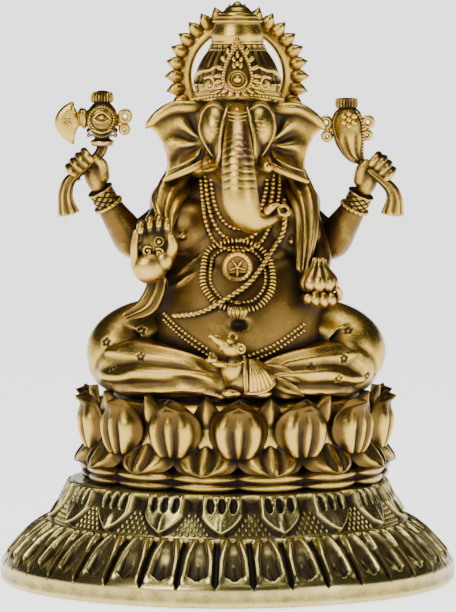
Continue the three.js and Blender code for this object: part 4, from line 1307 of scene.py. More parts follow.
class MakeCrown(bpy.types.Operator):
    """Builds the crown: its band, its ribbed dome, the pot and finial, the crest and the scrolls"""

    bl_idname = "statuette.crown"
    bl_label = "Crown"

    def execute(self, context):
        angle = np.linspace(0, 2 * np.pi, 72, endpoint=False)
        arch = 0.9 * np.cos(angle) ** 2 * (np.cos(angle) > 0)
        ring = lambda r, z: np.stack([CROWN[0] + r * np.sin(angle), CROWN[1] - r * np.cos(angle),
            z + 0 * angle], -1)
        arched = lambda r, z: ring(r, z) + np.stack([0 * angle, 0 * angle, arch], -1)
        rope_line = beads(arched(7.5, 83.3), 0.42, True, 1, 1.8)
        upper_line = beads(arched(7.3, 84.2), 0.2, True, 1, 1.9)
        band = revolved([[0.01, 82.8], [6.8, 82.8], [7.2, 83.2], [7.3, 84.4], [7.2, 85.6], [6.6, 85.8],
            [0.01, 85.8]], 96, CROWN)
        make_piece("crown_band_casting", joined([band, rope_line, upper_line]), metal("rubbed"),
            ["crown_band"])

        def ribs(a, t):
            rib = np.abs(np.sin(11 * a)) ** 0.7
            return 0.38 * (rib - 0.5) * smooth_step(0.08, 0.25, t) * smooth_step(0.86, 0.7, t)

        dome = revolved(
            [[0.01, 85.4], [6.9, 85.4], [7.1, 86.4], [6.9, 87.6], [6.3, 89.2], [5.4, 90.7], [4.6, 91.7],
            [4.2, 92.6], [0.01, 92.7]],
            240, CROWN, ribs, 60,
        )
        beaded = beads(ring(4.75, 91.6), 0.3, True, 1, 1.9)
        make_piece("crown_dome_casting", joined([dome, beaded]), metal("warm"), ["crown_dome"])

        pot = revolved(
            [[0.01, 92.4], [4.1, 92.5], [4.45, 93.3], [4.5, 94.2], [4.1, 95.4], [3.85, 96.1],
            [4.15, 96.35], [4.1, 96.7],
             [3.5, 96.95], [3.55, 97.3], [3.1, 97.55], [2.95, 97.95], [2.3, 98.3], [1.9, 98.8],
             [1.1, 99.15], [0.75, 99.45],
             [0.5, 99.7], [0.01, 99.95]],
            96, CROWN, None, 120,
        )
        edge = beads(ring(4.05, 96.5), 0.24, True)
        make_piece("crown_finial_casting", joined([pot, edge]), metal("rubbed"), ["crown_finial"])

        crest = moved(joined(crest_skins()), (CROWN[0], CROWN[1] - 8.0, 84.2), (1, 1, 1), (-17, 0, 0))
        wings = []
        for side in (-1, 1):
            centre = on_crown(CROWN[0] + side * 4.75, 85.9, 0.15)
            wings.append(moved(scroll((0, 0, 0), 1.3, -side, 0.36), centre, (1, 1, 1), (0, 0, side * 32)))
            wings.append(ball(centre, (0.5, 0.5, 0.5), detail=12))
            stem = [on_crown(CROWN[0] + side * x, z, 0.2) for x, z in ((6.9, 84.8), (7.0, 86.6),
                (6.1, 87.9), (4.6, 88.3), (3.4, 88.9))]
            wings.append(tube(stem, [0.3, 0.5, 0.6, 0.5, 0.3], 1, (0, 1, 0), 50, 14))
            low = [on_crown(CROWN[0] + side * x, z, 0.1) for x, z in ((2.8, 84.9), (3.7, 84.5),
                (4.6, 84.3))]
            wings.append(tube(low, [0.25, 0.35, 0.2], 1, (0, 1, 0), 30, 12))
        make_piece("crest_casting", joined([crest, *wings]), metal("rubbed"), ["crown_crest"])
        return {"FINISHED"}


class MakeHalo(bpy.types.Operator):
    """Builds the halo: a ring with a raised edge, and a fat pointed bud for each flame"""

    bl_idname = "statuette.halo"
    bl_label = "Halo"

    def execute(self, context):
        count = context.scene.statuette_sizes.flames
        ring = revolved_ring(
            [[7.75, 0.2], [7.75, 0.9], [7.9, 1.25], [8.2, 1.45], [8.6, 1.5], [8.95, 1.35], [9.3, 1.1],
             [9.95, 0.8], [9.9, 0.2], [9.5, 0], [8.2, 0]], 200,
        )
        bud = ball((0, -10.45, 0.7), (1.22, 1.5, 1.1), detail=20)
        tip = tube([[0, -10.8, 0.8], [0, -11.5, 0.9], [0, -12.25, 0.85]], [1.02, 0.8, 0.2], 1,
            (0, 0, 1), 14, 14)
        skin = moved(joined([ring, ringed(joined([bud, tip]), count, 6)]), (0.35, 2.3, 87), (1, 1, 1),
            (90, 0, 0))
        make_piece("halo_casting", skin, metal("warm"), ["halo_ring"])
        return {"FINISHED"}


# ---------------------------------------------------------------- what several pieces share


def ring_at(middle, radius, thick, turn=(90, 0, 0), sides=40):
    """A round wire ring about a point, laid flat and then turned."""
    return moved(revolved_ring(circle((radius, 0), thick, 12), sides), middle, (1, 1, 1), turn)


def slab(outline, centre, thick, edge=0.25):
    """A plate in the XZ plane: its outline drawn in to the centre on both faces, bevelled at the
    rim. outline holds [x, z] points, centre is [x, y, z]."""
    rim = through(np.column_stack([outline, np.zeros(len(outline))]), 72, True)[:, :2]
    middle = np.array([centre[0], centre[2]])
    steps = [(0.08, -0.5), (0.55, -0.5), (0.85, -0.42), (1, -edge), (1, edge), (0.85, 0.42), (0.55, 0.5),
        (0.08, 0.5)]
    rows = []
    for share, side in steps:
        flat = middle + share * (rim - middle)
        rows.append(np.stack([flat[:, 0], np.full(72, centre[1] + side * thick), flat[:, 1]], -1))
    return closed_grid(np.stack(rows))


def draped(path, radii, flat, count, depth, rows=90):
    """A band of cloth: a flat tube whose faces carry folds that run along it, as a cosine of the
    place across the band."""

    def push(u, v):
        return depth * np.cos(2 * np.pi * count * np.cos(v) + 1.2
            * np.sin(3 * u)) * np.abs(np.sin(v)) ** 0.5

    return tube(path, radii, flat, (0, 1, 0.15), rows, 110, relief=push)


def on_body(line, lift, count=90, closed=False):
    """A line of [x, z] points laid on the body's front and lifted off it."""
    flat = through(np.column_stack([line, np.zeros(len(line))]), count, closed)
    return body_front(flat[:, 0], flat[:, 1], lift)


# ---------------------------------------------------------------- rear arms


def fist(centres, wrap, y, palm, thumb):
    """A closed hand: each finger a short curled tube across the handle, a palm and a thumb."""
    parts = [ball(*palm, detail=40), tube(*thumb, rows=30)]
    for x, z in centres:
        a, b = np.array([x, z]) - 1.25 * np.array(wrap), np.array([x, z]) + 1.35 * np.array(wrap)
        line = [[a[0], y + 1.2, a[1]], [a[0] * 0.7 + b[0] * 0.3, y - 0.1, a[1] * 0.7 + b[1] * 0.3],
                [a[0] * 0.25 + b[0] * 0.75, y - 0.2, a[1] * 0.25 + b[1] * 0.75], [b[0], y + 0.6, b[1]]]
        parts.append(tube(line, [0.66, 0.7, 0.66, 0.5], 1, (0, 1, 0.1), 26, 20))
    return fused(joined(parts), 0.13, 3)


def bracelet(low, high, radius):
    """A cuff with crossed engraving between a rope below and a thin ring above."""
    low, high = np.array(low, float), np.array(high, float)

    def crossed(u, v):
        lattice = np.minimum(np.abs(np.sin(4 * v + 9 * u)), np.abs(np.sin(4 * v - 9 * u)))
        return -0.22 * smooth_step(0.45, 0.1, lattice) * smooth_step(0.05, 0.15, u) * smooth_step(0.95,
            0.85, u)

    cuff = tube([low, (low + high) / 2, high], radius, 1, (0, 1, 0), 40, 96, (0.1, 0.1), crossed)
    along = unit(high - low)
    side = unit(np.cross(along, [0, 1.0, 0]))
    deep = np.cross(along, side)
    angle = np.linspace(0, 2 * np.pi, 49)[:, None]
    loop = lambda middle, r: middle + r * (np.cos(angle) * side + np.sin(angle) * deep)
    return joined([cuff, rope(loop(low, radius + 0.12), 0.34, rows=150),
        tube(loop(high, radius), 0.2, rows=80, columns=10)])


class MakeRearArms(bpy.types.Operator):
    """Builds the raised rear arms, their cuffs and the hands that close on the handles"""

    bl_idname = "statuette.rear_arms"
    bl_label = "Rear arms"

    def execute(self, context):
        right = [[-9.6, 3, 64], [-14, 2.4, 60.2], [-17.2, 0.8, 58.8], [-19.6, -1.4, 61.8],
            [-21.9, -2.9, 65.4]]
        left = [[9.6, 3, 64], [13.6, 2.4, 60.2], [16.4, 0.8, 58.6], [18.6, -1.4, 61.6],
            [20.8, -2.9, 65.2]]
        for side, path in (("right", right), ("left", left)):
            arm = tube(path, [3.6, 3.5, 3.3, 2.7, 2.0], 1, (0, 1, 0.3), 80, 48)
            make_piece(side + "_rear_arm_casting", arm, metal("warm"), [side + "_rear_arm"])
        cuffs = (("right", (-21.7, -2.9, 65.1), (-23.1, -3.6, 67.6)),
            ("left", (20.5, -2.9, 64.6), (21.6, -3.6, 67.0)))
        for side, low, high in cuffs:
            make_piece(side + "_cuff", bracelet(low, high, 2.15), metal("warm"),
                [side + "_rear_bracelet"])
        right_fist = fist(
            [(-25.0, 73.4), (-26.0, 72.6), (-26.9, 71.7), (-27.7, 70.7)], (0.64, -0.77), -6.4,
            ((-23.9, -4.3, 70.2), (1.9, 1.9, 3.2), (0, -14, 0)),
            ([[-22.6, -5, 70], [-22.7, -5.8, 72], [-23.8, -6.3, 73.2]], [1.2, 1.0, 0.7]),
        )
        make_piece("right_fist", right_fist, metal("warm"), ["right_rear_hand"])
        left_fist = fist(
            [(23.7, 72.8), (24.7, 72.2), (25.5, 71.3), (26.2, 70.2)], (-0.66, -0.75), -6.4,
            ((22.6, -4.3, 69.6), (1.9, 1.9, 3.2), (0, 14, 0)),
            ([[21.4, -5, 69.4], [21.6, -5.8, 71.2], [22.4, -6.2, 72.4]], [1.2, 1.0, 0.7]),
        )
        make_piece("left_fist", left_fist, metal("warm"), ["left_rear_hand"])
        return {"FINISHED"}


def ribbon_end(path, radii):
    """A handle that turns into gathered cloth and flares at its end."""

    def gathers(u, v):
        return 0.26 * np.cos(6 * v) * smooth_step(0.5, 0.8,
            u) + 0.05 * np.cos(6 * v) * smooth_step(0.7, 0.4, u)

    cloth = tube(path, radii, 0.85, (0, 1, 0), 90, 60, (0.5, 0.15), gathers)
    return cloth


class MakeAxe(bpy.types.Operator):
    """Builds the axe: a pot-shaped head with its blade, cap and bow, and the ribbon handle"""

    bl_idname = "statuette.axe"
    bl_label = "Axe"

    def execute(self, context):
        x, y, z = -22.7, -5.0, 79.9
        profile = [
            [0.01, 75.2], [1.5, 75.2], [1.97, 75.5], [1.97, 76.1], [1.35, 76.5], [1.5, 77.2],
            [2.25, 78.1],
            [2.62, 79.2], [2.7, 80.1], [2.4, 81.3], [1.75, 82.2], [1.4, 82.6], [1.75, 82.9], [1.85, 83.6],
            [1.65, 84.2], [0.9, 84.6], [0.01, 84.75],
        ]

        def ribs(angle, t):
            return 0.14 * np.cos(22 * angle) * smooth_step(0.74, 0.78, t) * smooth_step(0.93, 0.88, t)

        def on_pot(points, lift):
            flat = through(np.column_stack([points, np.zeros(len(points))]), 40)
            deep = np.sqrt(np.clip(2.7**2 - (flat[:, 0] ** 2 + flat[:, 1] ** 2), 0.2, 9))
            return np.stack([x + flat[:, 0], y - deep - lift, z + flat[:, 1]], -1)

        angle = np.linspace(0, 2 * np.pi, 48, endpoint=False)
        halo = np.stack([x + 2.05 * np.sin(angle), np.full(48, y - 1.98), z + 2.05 * np.cos(angle)], -1)
        wave = np.stack([x + 2.45 * np.sin(angle), y - 2.45 * np.cos(angle),
            78.15 - 0.55 * np.abs(np.cos(2.5 * angle))], -1)
        parts = [
            revolved(profile, 88, (x, y), ribs, 110),
            beads(halo, 0.26, True, 1, 1.8),
            tube(np.vstack([wave, wave[:2]]), 0.24, rows=140, columns=10),
            beads(wave - [0, 0, 0.75], 0.16, True, 1, 2.2),
            ball((x, y - 2.85, z + 0.3), (0.55, 0.5, 0.42), detail=16),
            tube(on_pot([[-1.35, 0.2], [-0.7, 0.85], [0, 1.05], [0.7, 0.85], [1.35, 0.2]], 0.15), 0.24,
            rows=40, columns=10),
            tube(on_pot([[-1.35, 0.0], [-0.7, -0.45], [0, -0.55], [0.7, -0.45], [1.35, 0.0]], 0.15), 0.24,
            rows=40, columns=10),
            beads(on_pot([[-1.0, -1.0], [0, -1.15], [1.0, -1.0]], 0.0), 0.2, False, 1, 2),
            tube([[-24.9, y, z], [-25.5, y, z], [-26.1, y, z], [-26.7, y, z - 0.1]],
            [1.7, 1.35, 1.85, 1.1], 1, (0, 1, 0), 40, 36, (0.2, 0.2)),
            ring_at((-25.7, y, z), 1.5, 0.28, (0, 90, 0)),
            slab(
                [[-27.7, 82.8], [-29.3, 82.0], [-30.4, 80.7], [-30.8, 79.2], [-30.2, 77.6], [-29.0, 76.3],
                 [-27.6, 75.5], [-27.3, 76.9], [-26.9, 78.2], [-26.3, 78.9], [-26.3, 80.4], [-26.9, 81.0],
                 [-27.3, 81.7]],
                (-28.3, y, 79.2), 1.3, 0.08,
            ),
            moved(
                ringed(ball((0, -0.55, 0), (0.24, 0.42, 0.2), detail=10), 5),
                (-28.7, y - 0.75, 79.3), turn=(90, 0, 0),
            ),
            ring_at((-18.8, y, 80.3), 0.85, 0.46, (90, 0, 12)),
            ring_at((-18.9, y, 78.1), 0.6, 0.44, (90, 0, 12)),
            ball((-19.7, y, 79.1), (0.7, 0.7, 0.6), detail=16),
        ]
        make_piece("axe_casting", joined(parts), metal("warm"), ["axe"])
        handle = ribbon_end(
            [[-22.5, -5, 75.6], [-23.1, -5.5, 74], [-24.9, -6.2, 72.3], [-26.8, -6.6, 70.6],
            [-28.3, -6.6, 69.2],
             [-28.9, -6.6, 67.2], [-28.8, -6.4, 65.4], [-28.4, -6.2, 63.7]],
            [0.95, 0.85, 0.7, 0.75, 0.95, 1.0, 1.2, 1.65],
        )
        make_piece("axe_handle_casting", handle, metal("warm"), ["axe_handle"])
        return {"FINISHED"}


class MakeConch(bpy.types.Operator):
    """Builds the conch with its cap, flower, beaded edges and bow, and its ribbon"""

    bl_idname = "statuette.conch"
    bl_label = "Conch"

    def execute(self, context):
        y = -5.0

        def flutes(u, v):
            sweep = np.abs(np.sin(4 * v + 2.6 * u)) ** 0.7
            return 0.34 * (sweep - 0.6) * smooth_step(0.38, 0.55, u) * smooth_step(1, 0.85, u)

        body = tube(
            [[19.1, y, 81.7], [19.15, y, 80.7], [19.2, y, 79.0], [19.6, y, 76.4], [20.4, y, 74.0],
            [21.7, y, 72.3]],
            [1.5, 2.4, 2.75, 2.5, 1.65, 0.55], 1, (0, 1, 0), 90, 90, (0.3, 1), flutes,
        )
        cap = revolved(
            [[0.01, 81.2], [1.25, 81.3], [1.35, 81.7], [1.75, 81.9], [1.8, 82.8], [1.55, 83.35],
            [0.01, 83.5]], 88, (19.05, y),
            lambda a, t: 0.13 * np.cos(22 * a) * smooth_step(0.35, 0.42, t)
            * smooth_step(0.75, 0.65, t), 60,
        )
        parts = [body, cap, ball((21.9, y - 0.3, 72.3), (0.75, 0.75, 0.7), detail=20),
            ball((19.35, y - 2.75, 79.8), (0.5, 0.45, 0.5), detail=14)]
        parts += [
            ball((19.35 + 1.02 * np.sin(a), y - 2.5, 79.8 + 1.02 * np.cos(a)), (0.52, 0.5, 0.6),
            (0, np.degrees(a), 0), 16)
            for a in np.arange(6) * np.pi / 3
        ]
        right = [[20.7, y - 1.8, 81.1], [21.6, y - 1.6, 79.4], [21.8, y - 1.5, 77], [21.7, y - 1.3, 75],
            [21.9, y - 0.9, 73.3]]
        left = [[17.4, y - 1.7, 80.9], [16.8, y - 1.5, 79], [17.4, y - 1.6, 76.6], [18.6, y - 1.4, 74.6],
            [20.3, y - 1.0, 73]]
        parts += [beads(right, 0.26, False, 1, 1.9), beads(left, 0.2, False, 1, 1.9)]
        for middle, radius in (((15.5, y, 79.2), 0.95), ((15.7, y, 76.9), 0.72), ((22.7, y, 79.3), 0.9),
            ((22.5, y, 77.1), 0.7)):
            parts.append(ring_at(middle, radius * 0.85, 0.44, (90, 0, 0)))
        parts += [ball((16.5, y, 78), (0.6, 0.6, 0.5)), ball((21.9, y, 78.2), (0.6, 0.6, 0.5))]
        make_piece("conch_casting", joined(parts), metal("warm"), ["conch"])
        ribbon = ribbon_end(
            [[22.3, -5.3, 71.7], [23.4, -6.0, 70.8], [25.2, -6.4, 69.4], [26.7, -6.4, 67.8],
            [27.2, -6.4, 66], [26.9, -6.2, 63.6]],
            [0.6, 0.75, 0.85, 1.05, 1.2, 1.75],
        )
        make_piece("conch_ribbon_casting", ribbon, metal("warm"), ["conch_ribbon"])
        return {"FINISHED"}


# ---------------------------------------------------------------- front arms and shawls


class MakeFrontArms(bpy.types.Operator):
    """Builds the front arms, the raised hand with its curls, the low hand and the sweet it holds"""

    bl_idname = "statuette.front_arms"
    bl_label = "Front arms"

    def execute(self, context):
        right = [[-10.4, -0.6, 64], [-13.4, -2.6, 58.8], [-14.8, -6.4, 55.2], [-14.7, -11, 54.4],
            [-14.4, -13.2, 55]]
        arm = tube(right, [3.8, 3.4, 2.7, 2.4, 2.3], 1, (0, 0.3, 1), 80, 48)
        make_piece("right_front_arm_casting", arm, metal("warm"), ["right_front_arm"])
        left = [[10.6, -0.6, 64.2], [12.6, -2.8, 60], [14.0, -6.6, 57.2], [14.7, -10.4, 56.2],
            [14.7, -13, 55.2]]
        arm = tube(left, [3.4, 2.9, 2.3, 1.7, 1.4], 1, (0, 0.3, 1), 80, 48)
        make_piece("left_front_arm_casting", arm, metal("warm"), ["left_front_arm"])

        hand = [
            ball((-13.7, -14.2, 57.8), (3.2, 1.2, 4.2), detail=44),
            ball((-14.4, -14.9, 55.1), (3.05, 2.2, 2.7), detail=40),
            ball((-12.0, -15.5, 56.2), (1.55, 1.3, 1.8), detail=30),
            tube([[-16.9, -15.2, 55.6], [-17.0, -15.8, 58.6], [-16.7, -15.6, 61.2]], [0.75, 0.6, 0.5],
            rows=30),
            tube([[-11.4, -15, 56.6], [-10.5, -16, 58.6], [-10.9, -16.3, 60.6]], [1.15, 0.95, 0.6],
            rows=30),
        ]
        for i, x in enumerate((-16.0, -14.5, -13.0, -11.6)):
            top = (62.2, 63.0, 63.2, 62.8)[i]
            path = [[x, -14.4, 58.4], [x, -14.2, 60.6], [x + 0.1, -14.8, top],
                [x + 0.1, -16.2, top + 0.1], [x + 0.1, -16.7, top - 0.9]]
            joints = lambda u, v: -0.12 * np.exp(-(((np.mod(u * 4, 1) - 0.5) / 0.12) ** 2))
            hand.append(tube(path, [0.78, 0.76, 0.74, 0.66, 0.5], 1, (1, 0, 0), 50, 20, relief=joints))
        curls = [
            scroll((-14.8, -15.75, 57.9), 0.85, -1, 0.22), scroll((-12.8, -15.9, 57.6), 0.8, 1, 0.22),
            scroll((-14.3, -16.1, 56.2), 0.6, -1, 0.2),
            ball((-12.85, -15.5, 59.5), (0.42, 0.35, 0.42), detail=14),
            ring_at((-12.85, -15.4, 59.5), 0.75, 0.14),
        ]
        palm = joined([fused(joined(hand), 0.14, 3), *curls])
        make_piece("right_front_hand_casting", palm, metal("rubbed"), ["right_front_hand"])

        def flutes(angle, t):
            return 0.42 * (np.abs(np.cos(4.5 * angle)) ** 0.6 - 0.6) * smooth_step(0.08, 0.3,
                t) * smooth_step(1, 0.8, t)

        sweet = revolved(
            [[0.01, 50.9], [2.0, 50.9], [2.95, 51.6], [3.2, 52.4], [2.9, 53.4], [2.2, 54.3], [1.5, 55.1],
            [1.15, 55.9], [1.0, 56.6], [0.01, 56.8]],
            120, (14.2, -14.6), flutes, 60,
        )
        make_piece("sweet_casting", sweet, metal("rubbed"), ["modak"])
        fingers = [ball((14.4, -13.8, 49.9), (3.3, 2.8, 1.3), detail=40)]
        for x, low, high in ((12.2, 0.35, 50.2), (13.5, 0, 50.7), (14.9, -0.15, 50.5), (16.2, 0.1, 50.4)):
            path = [[x, -15.2, 49.4 + low], [x, -16.9, 49.3 + low], [x, -17.5, 49.8 + low],
                [x, -17.2, high]]
            fingers.append(tube(path, [0.76, 0.76, 0.72, 0.6], 1, (1, 0, 0), 30, 20))
        fingers.append(tube([[16.6, -14.6, 49.6], [17.6, -15.6, 50.4], [17.3, -16.4, 51.5]],
            [0.8, 0.7, 0.5], rows=30))
        make_piece("left_front_hand_casting", fused(joined(fingers), 0.14, 3), metal("rubbed"),
            ["left_front_hand"])
        return {"FINISHED"}


class MakeShawls(bpy.types.Operator):
    """Builds the shawl over each shoulder and the end that falls over the thigh"""

    bl_idname = "statuette.shawls"
    bl_label = "Shawls"

    def execute(self, context):
        right = draped(
            [[-8.8, -2.4, 69.4], [-10.6, -6.2, 67.0], [-11.5, -9.2, 64.2], [-11.3, -11.2, 61.2]],
            [3.6, 3.1, 2.2, 0.7],
            [0.5, 0.45, 0.5, 0.7], 1.5, 0.3,
        )
        outer = tube([[-12.2, -4.6, 68.2], [-13.6, -6.6, 66.6], [-13.3, -9.4, 65.0],
            [-12.7, -11.4, 63.2]], [0.5, 0.7, 0.6, 0.4], 1, (0, 1, 0), 60, 20)
        make_piece("right_shawl_casting", joined([right, outer]), metal("rubbed"), ["right_shawl"])
        end = draped(
            [[-13.1, -12.6, 52.8], [-13.6, -12.9, 50.4], [-15.0, -12.9, 48.2], [-18.4, -12.2, 46.6]],
            [1.7, 1.9, 1.9, 0.8],
            0.5, 1.5, 0.26,
        )
        make_piece("shawl_end_casting", end, metal("warm"), ["right_shawl_end"])
        left = draped(
            [[9.8, -2.6, 69.4], [11.4, -6.4, 66.6], [12.1, -9.4, 63.2], [12.0, -11.4, 59.6],
            [11.5, -12.8, 55.0]],
            [2.9, 2.5, 2.1, 1.8, 1.1], [0.5, 0.5, 0.5, 0.55, 0.7], 1.5, 0.32, 120,
        )
        make_piece("left_shawl_casting", left, metal("rubbed"), ["left_shawl"])
        return {"FINISHED"}


# ---------------------------------------------------------------- ornaments


class MakeOrnaments(bpy.types.Operator):
    """Builds the bead necklace, the garland, the medallion, the pendant, the thread and the belt"""

    bl_idname = "statuette.ornaments"
    bl_label = "Ornaments"

    def execute(self, context):
        strands = [
            ([[-5.9, 70.4], [-5.6, 66.5], [-4.9, 62.2], [-3.1, 58.9], [0.5, 57.7], [4.0, 58.8],
            [6.2, 62.4], [7.4, 66.6], [7.6, 70.4]], 0.42),
            ([[-5.0, 70.8], [-4.8, 67.0], [-4.0, 63.2], [-2.2, 60.4], [0.5, 59.4], [3.2, 60.3],
            [5.2, 63.2], [6.3, 67.0], [6.5, 70.8]], 0.46),
            ([[-4.1, 71.0], [-3.9, 67.6], [-3.1, 64.4], [-1.5, 62.2], [0.5, 61.4], [2.6, 62.2],
            [4.3, 64.6], [5.3, 68], [5.4, 71]], 0.42),
        ]
        strings = [beads(on_body(line, 0.3), radius, False, 1, 1.85) for line, radius in strands]
        make_piece("bead_strings", joined(strings), metal("warm"), ["bead_necklace"])

        line = [
            [-3.2, 58.8], [-5.1, 57.3], [-5.7, 54.4], [-5.6, 52.1], [-4.7, 50.6], [-3.0, 49.0],
            [0.4, 48.2], [3.6, 48.5],
            [5.4, 49.8], [6.4, 51.3], [6.7, 53.3], [6.4, 55.2], [5.8, 56.7], [4.2, 58.4], [1.5, 59.4],
            [-1, 59.4],
        ]
        line = np.array(line) * [0.95, 1] + [0.02, 0]
        outer = beads(on_body(line, 0.3, 160, True), 0.7, True, 0.45, 2.1, 10)
        middle = np.array([0.4, 53.8])
        inner_line = middle + (np.array(line) - middle) * 0.79
        inner = beads(on_body(inner_line, 0.2, 160, True), 0.36, True, 1, 1.9)
        make_piece("garland_casting", joined([outer, inner]), metal("warm"), ["garland"])

        thread = [
            [8.4, 66], [8.5, 62.9], [8.1, 60.7], [6.8, 58.5], [5.4, 56.3], [4.0, 54.4], [2.2, 52.4],
            [0, 50.9], [-2.7, 49.3],
            [-4.7, 48.2], [-6.9, 47.4], [-10.3, 46.9],
        ]
        laid = on_body(thread, 0.75, 80)
        make_piece("thread_casting", rope(laid, 0.42, rows=460), metal("warm"), ["sacred_thread"])

        rows = []
        for start, bend, end in (((-12.0, 47.0), (-8.9, 44.4), (-4.8, 41.6)),
            ((2.4, 40.4), (7, 42.4), (11.6, 45.4))):
            for down in (0, -1.05):
                rows.append(beads(on_body([[start[0], start[1] + down], [bend[0], bend[1] + down],
                    [end[0], end[1] + down]], 0.15), 0.36, False, 1, 1.95))
        make_piece("belt_beads", joined(rows), metal("warm"), ["belt_chain"])

        x, z = 0.4, 55.1
        y = body_front(x, z)[1] - 0.9
        ring = revolved_ring([[1.7, -0.4], [1.75, 0.35], [2.0, 0.6], [2.45, 0.65], [2.75, 0.3],
            [2.75, -0.4]], 60)
        dots = ringed(ball((0, -2.3, 0.68), (0.22, 0.22, 0.2), detail=8), 20)
        plate = revolved([[0.01, -0.7], [1.8, -0.7], [1.8, -0.45], [0.01, -0.4]], 40)
        star = ringed(ball((0, -0.85, -0.1), (0.24, 0.8, 0.4), detail=12), 5)
        boss = ball((0, 0, 0), (0.42, 0.42, 0.5), detail=14)
        made = moved(joined([ring, dots, plate, star, boss]), (x, y, z), (1, 1, 1), (82, 0, 0))
        make_piece("medallion_casting", made, metal("warm"), ["medallion"])

        x, z = 0.4, 47.9
        y = body_front(x, z)[1] - 0.9
        pot = revolved(
            [[0.01, -1.1], [0.9, -1.1], [1.7, -0.5], [2.0, 0.1], [1.6, 0.7], [0.8, 0.95], [0.6, 1.1],
            [0.95, 1.35], [0.5, 1.7], [0.01, 1.8]],
            80, (0, 0), lambda a, t: 0.16 * np.cos(12 * a) * smooth_step(0.05, 0.2, t)
            * smooth_step(0.6, 0.5, t), 50,
        )
        make_piece("pendant_casting", moved(pot, (x, y, z), (0.78, 0.6, 1.05)), metal("warm"),
            ["pendant"])
        return {"FINISHED"}


# ---------------------------------------------------------------- mouse


class MakeMouse(bpy.types.Operator):
    """Builds the crouching mouse with its collar, strap and pleated blanket, and its sweet"""

    bl_idname = "statuette.mouse"
    bl_label = "Mouse"

    def execute(self, context):
        parts = [
            ball((2.4, -22.0, 36.9), (4.4, 3.0, 3.3), (0, 8, 0), 44),
            ball((-0.2, -23.0, 38.6), (2.2, 2.2, 2.6), detail=32),
            ball((-0.9, -23.8, 42.2), (2.2, 1.9, 1.7), (0, 22, 0), 36),
            tube([[-1.8, -24.2, 42.9], [-3.0, -24.6, 43.7], [-3.9, -24.8, 44.2]], [1.2, 0.85, 0.5],
            rows=30),
            ball((-4.1, -25.2, 44.3), (0.45, 0.4, 0.4), detail=14),
            tube([[-1.8, -24.2, 39.4], [-3.0, -25.0, 39.6], [-3.7, -25.0, 40.1]], [0.75, 0.6, 0.5],
            rows=20),
            ball((-0.6, -24.2, 34.6), (1.7, 1.1, 0.8), detail=24),
            ball((4.4, -23.6, 34.5), (1.8, 1.2, 0.8), detail=24),
        ]
        body = fused(joined(parts), 0.16, 3)
        extras = [
            ring_at((0.9, -25.1, 42.2), 0.72, 0.26, (80, 0, 25)),
            ball((0.9, -24.9, 42.2), (0.5, 0.25, 0.5), detail=14),
            ring_at((-0.4, -22.9, 44.0), 0.6, 0.24, (80, 0, 0)),
            ball((-1.7, -25.5, 43.1), (0.32, 0.25, 0.3), detail=12),
            beads([[-2.2, -24.3, 39.9], [-1.2, -25.3, 39.6], [0.2, -25.6, 39.6], [1.3, -25.0, 40.0]],
            0.26, False, 1, 1.9),
            tube([[1.4, -23.4, 40.6], [1.7, -25.1, 38.5], [1.8, -25.5, 36.4], [1.9, -24.8, 34.6]], 0.42,
            0.6, rows=50, columns=14),
            beads([[1.4, -23.9, 40.6], [1.7, -25.5, 38.5], [1.8, -25.9, 36.4], [1.9, -25.2, 34.8]], 0.17,
            False, 1, 2.2),
        ]
        for i in range(6):
            share = i / 5
            top = np.array([2.6 + 1.0 * share, -24.2, 40.0 - 0.5 * share])
            low = np.array([2.7 + 3.4 * share, -25.2 + 1.4 * share**2, 35.2 + 0.9 * share**2])
            bend = (top + low) / 2 + [0.25 * share, -0.75 + 0.3 * share, 0.2]
            extras.append(tube([top, bend, low], [0.3, 0.36, 0.42], 1, (0, 1, 0), 40, 14))
        hem = [[2.3, -25.3, 34.7], [4.2, -25.2, 34.8], [5.6, -24.4, 35.4], [6.5, -23.6, 36.2]]
        extras.append(tube(hem, 0.36, 1, (0, 1, 0), 40, 12))
        make_piece("mouse_casting", joined([body, *extras]), metal("rubbed"), ["mouse"])
        sweet = revolved([[0.01, 39.8], [0.7, 39.9], [0.95, 40.4], [0.6, 41.0], [0.2, 41.5],
            [0.01, 41.6]], 40, (-3.9, -25.4),
                         lambda a, t: 0.08 * np.cos(8 * a) * smooth_step(0.1, 0.3, t), 30)
        make_piece("mouse_sweet_casting", sweet, metal("rubbed"), ["mouse_sweet"])
        return {"FINISHED"}


# ---------------------------------------------------------------- studio


def soft_light(name, at, towards, width, height, power):
    """A rectangular softbox that faces a point. Places and sizes in metres."""
    lamp = bpy.data.lights.new(name, "AREA")
    lamp.shape = "RECTANGLE"
    lamp.size, lamp.size_y = width, height
    lamp.energy = power
    thing = bpy.data.objects.new(name, lamp)
    thing.location = at
    thing.rotation_euler = (Vector(towards) - Vector(at)).to_track_quat("-Z", "Y").to_euler()
    bpy.context.scene.collection.objects.link(thing)


PAPER_GLOW = 2.5  # light the paper gives off, so that it stays pale all round
WORLD_GLOW = 0.04
LENS_MM = 4513 / 612 * 36  # the frame is 612 high at a distance of 4513
CAMERA_AT = (0.0001, -0.7759, 0.1057)
CAMERA_DIP = 4.295  # degrees below level
AIM = (0, 0, 0.055)
# Each softbox: its place, width and height in metres, and its power in watts. All face AIM.
SOFTBOXES = {
    "key": ((-0.32, -0.42, 0.40), 0.20, 0.26, 2.1),
    "fill": ((0.42, -0.36, 0.20), 0.12, 0.30, 0.75),
    "top": ((0.0, -0.05, 0.52), 0.30, 0.18, 0.95),
}


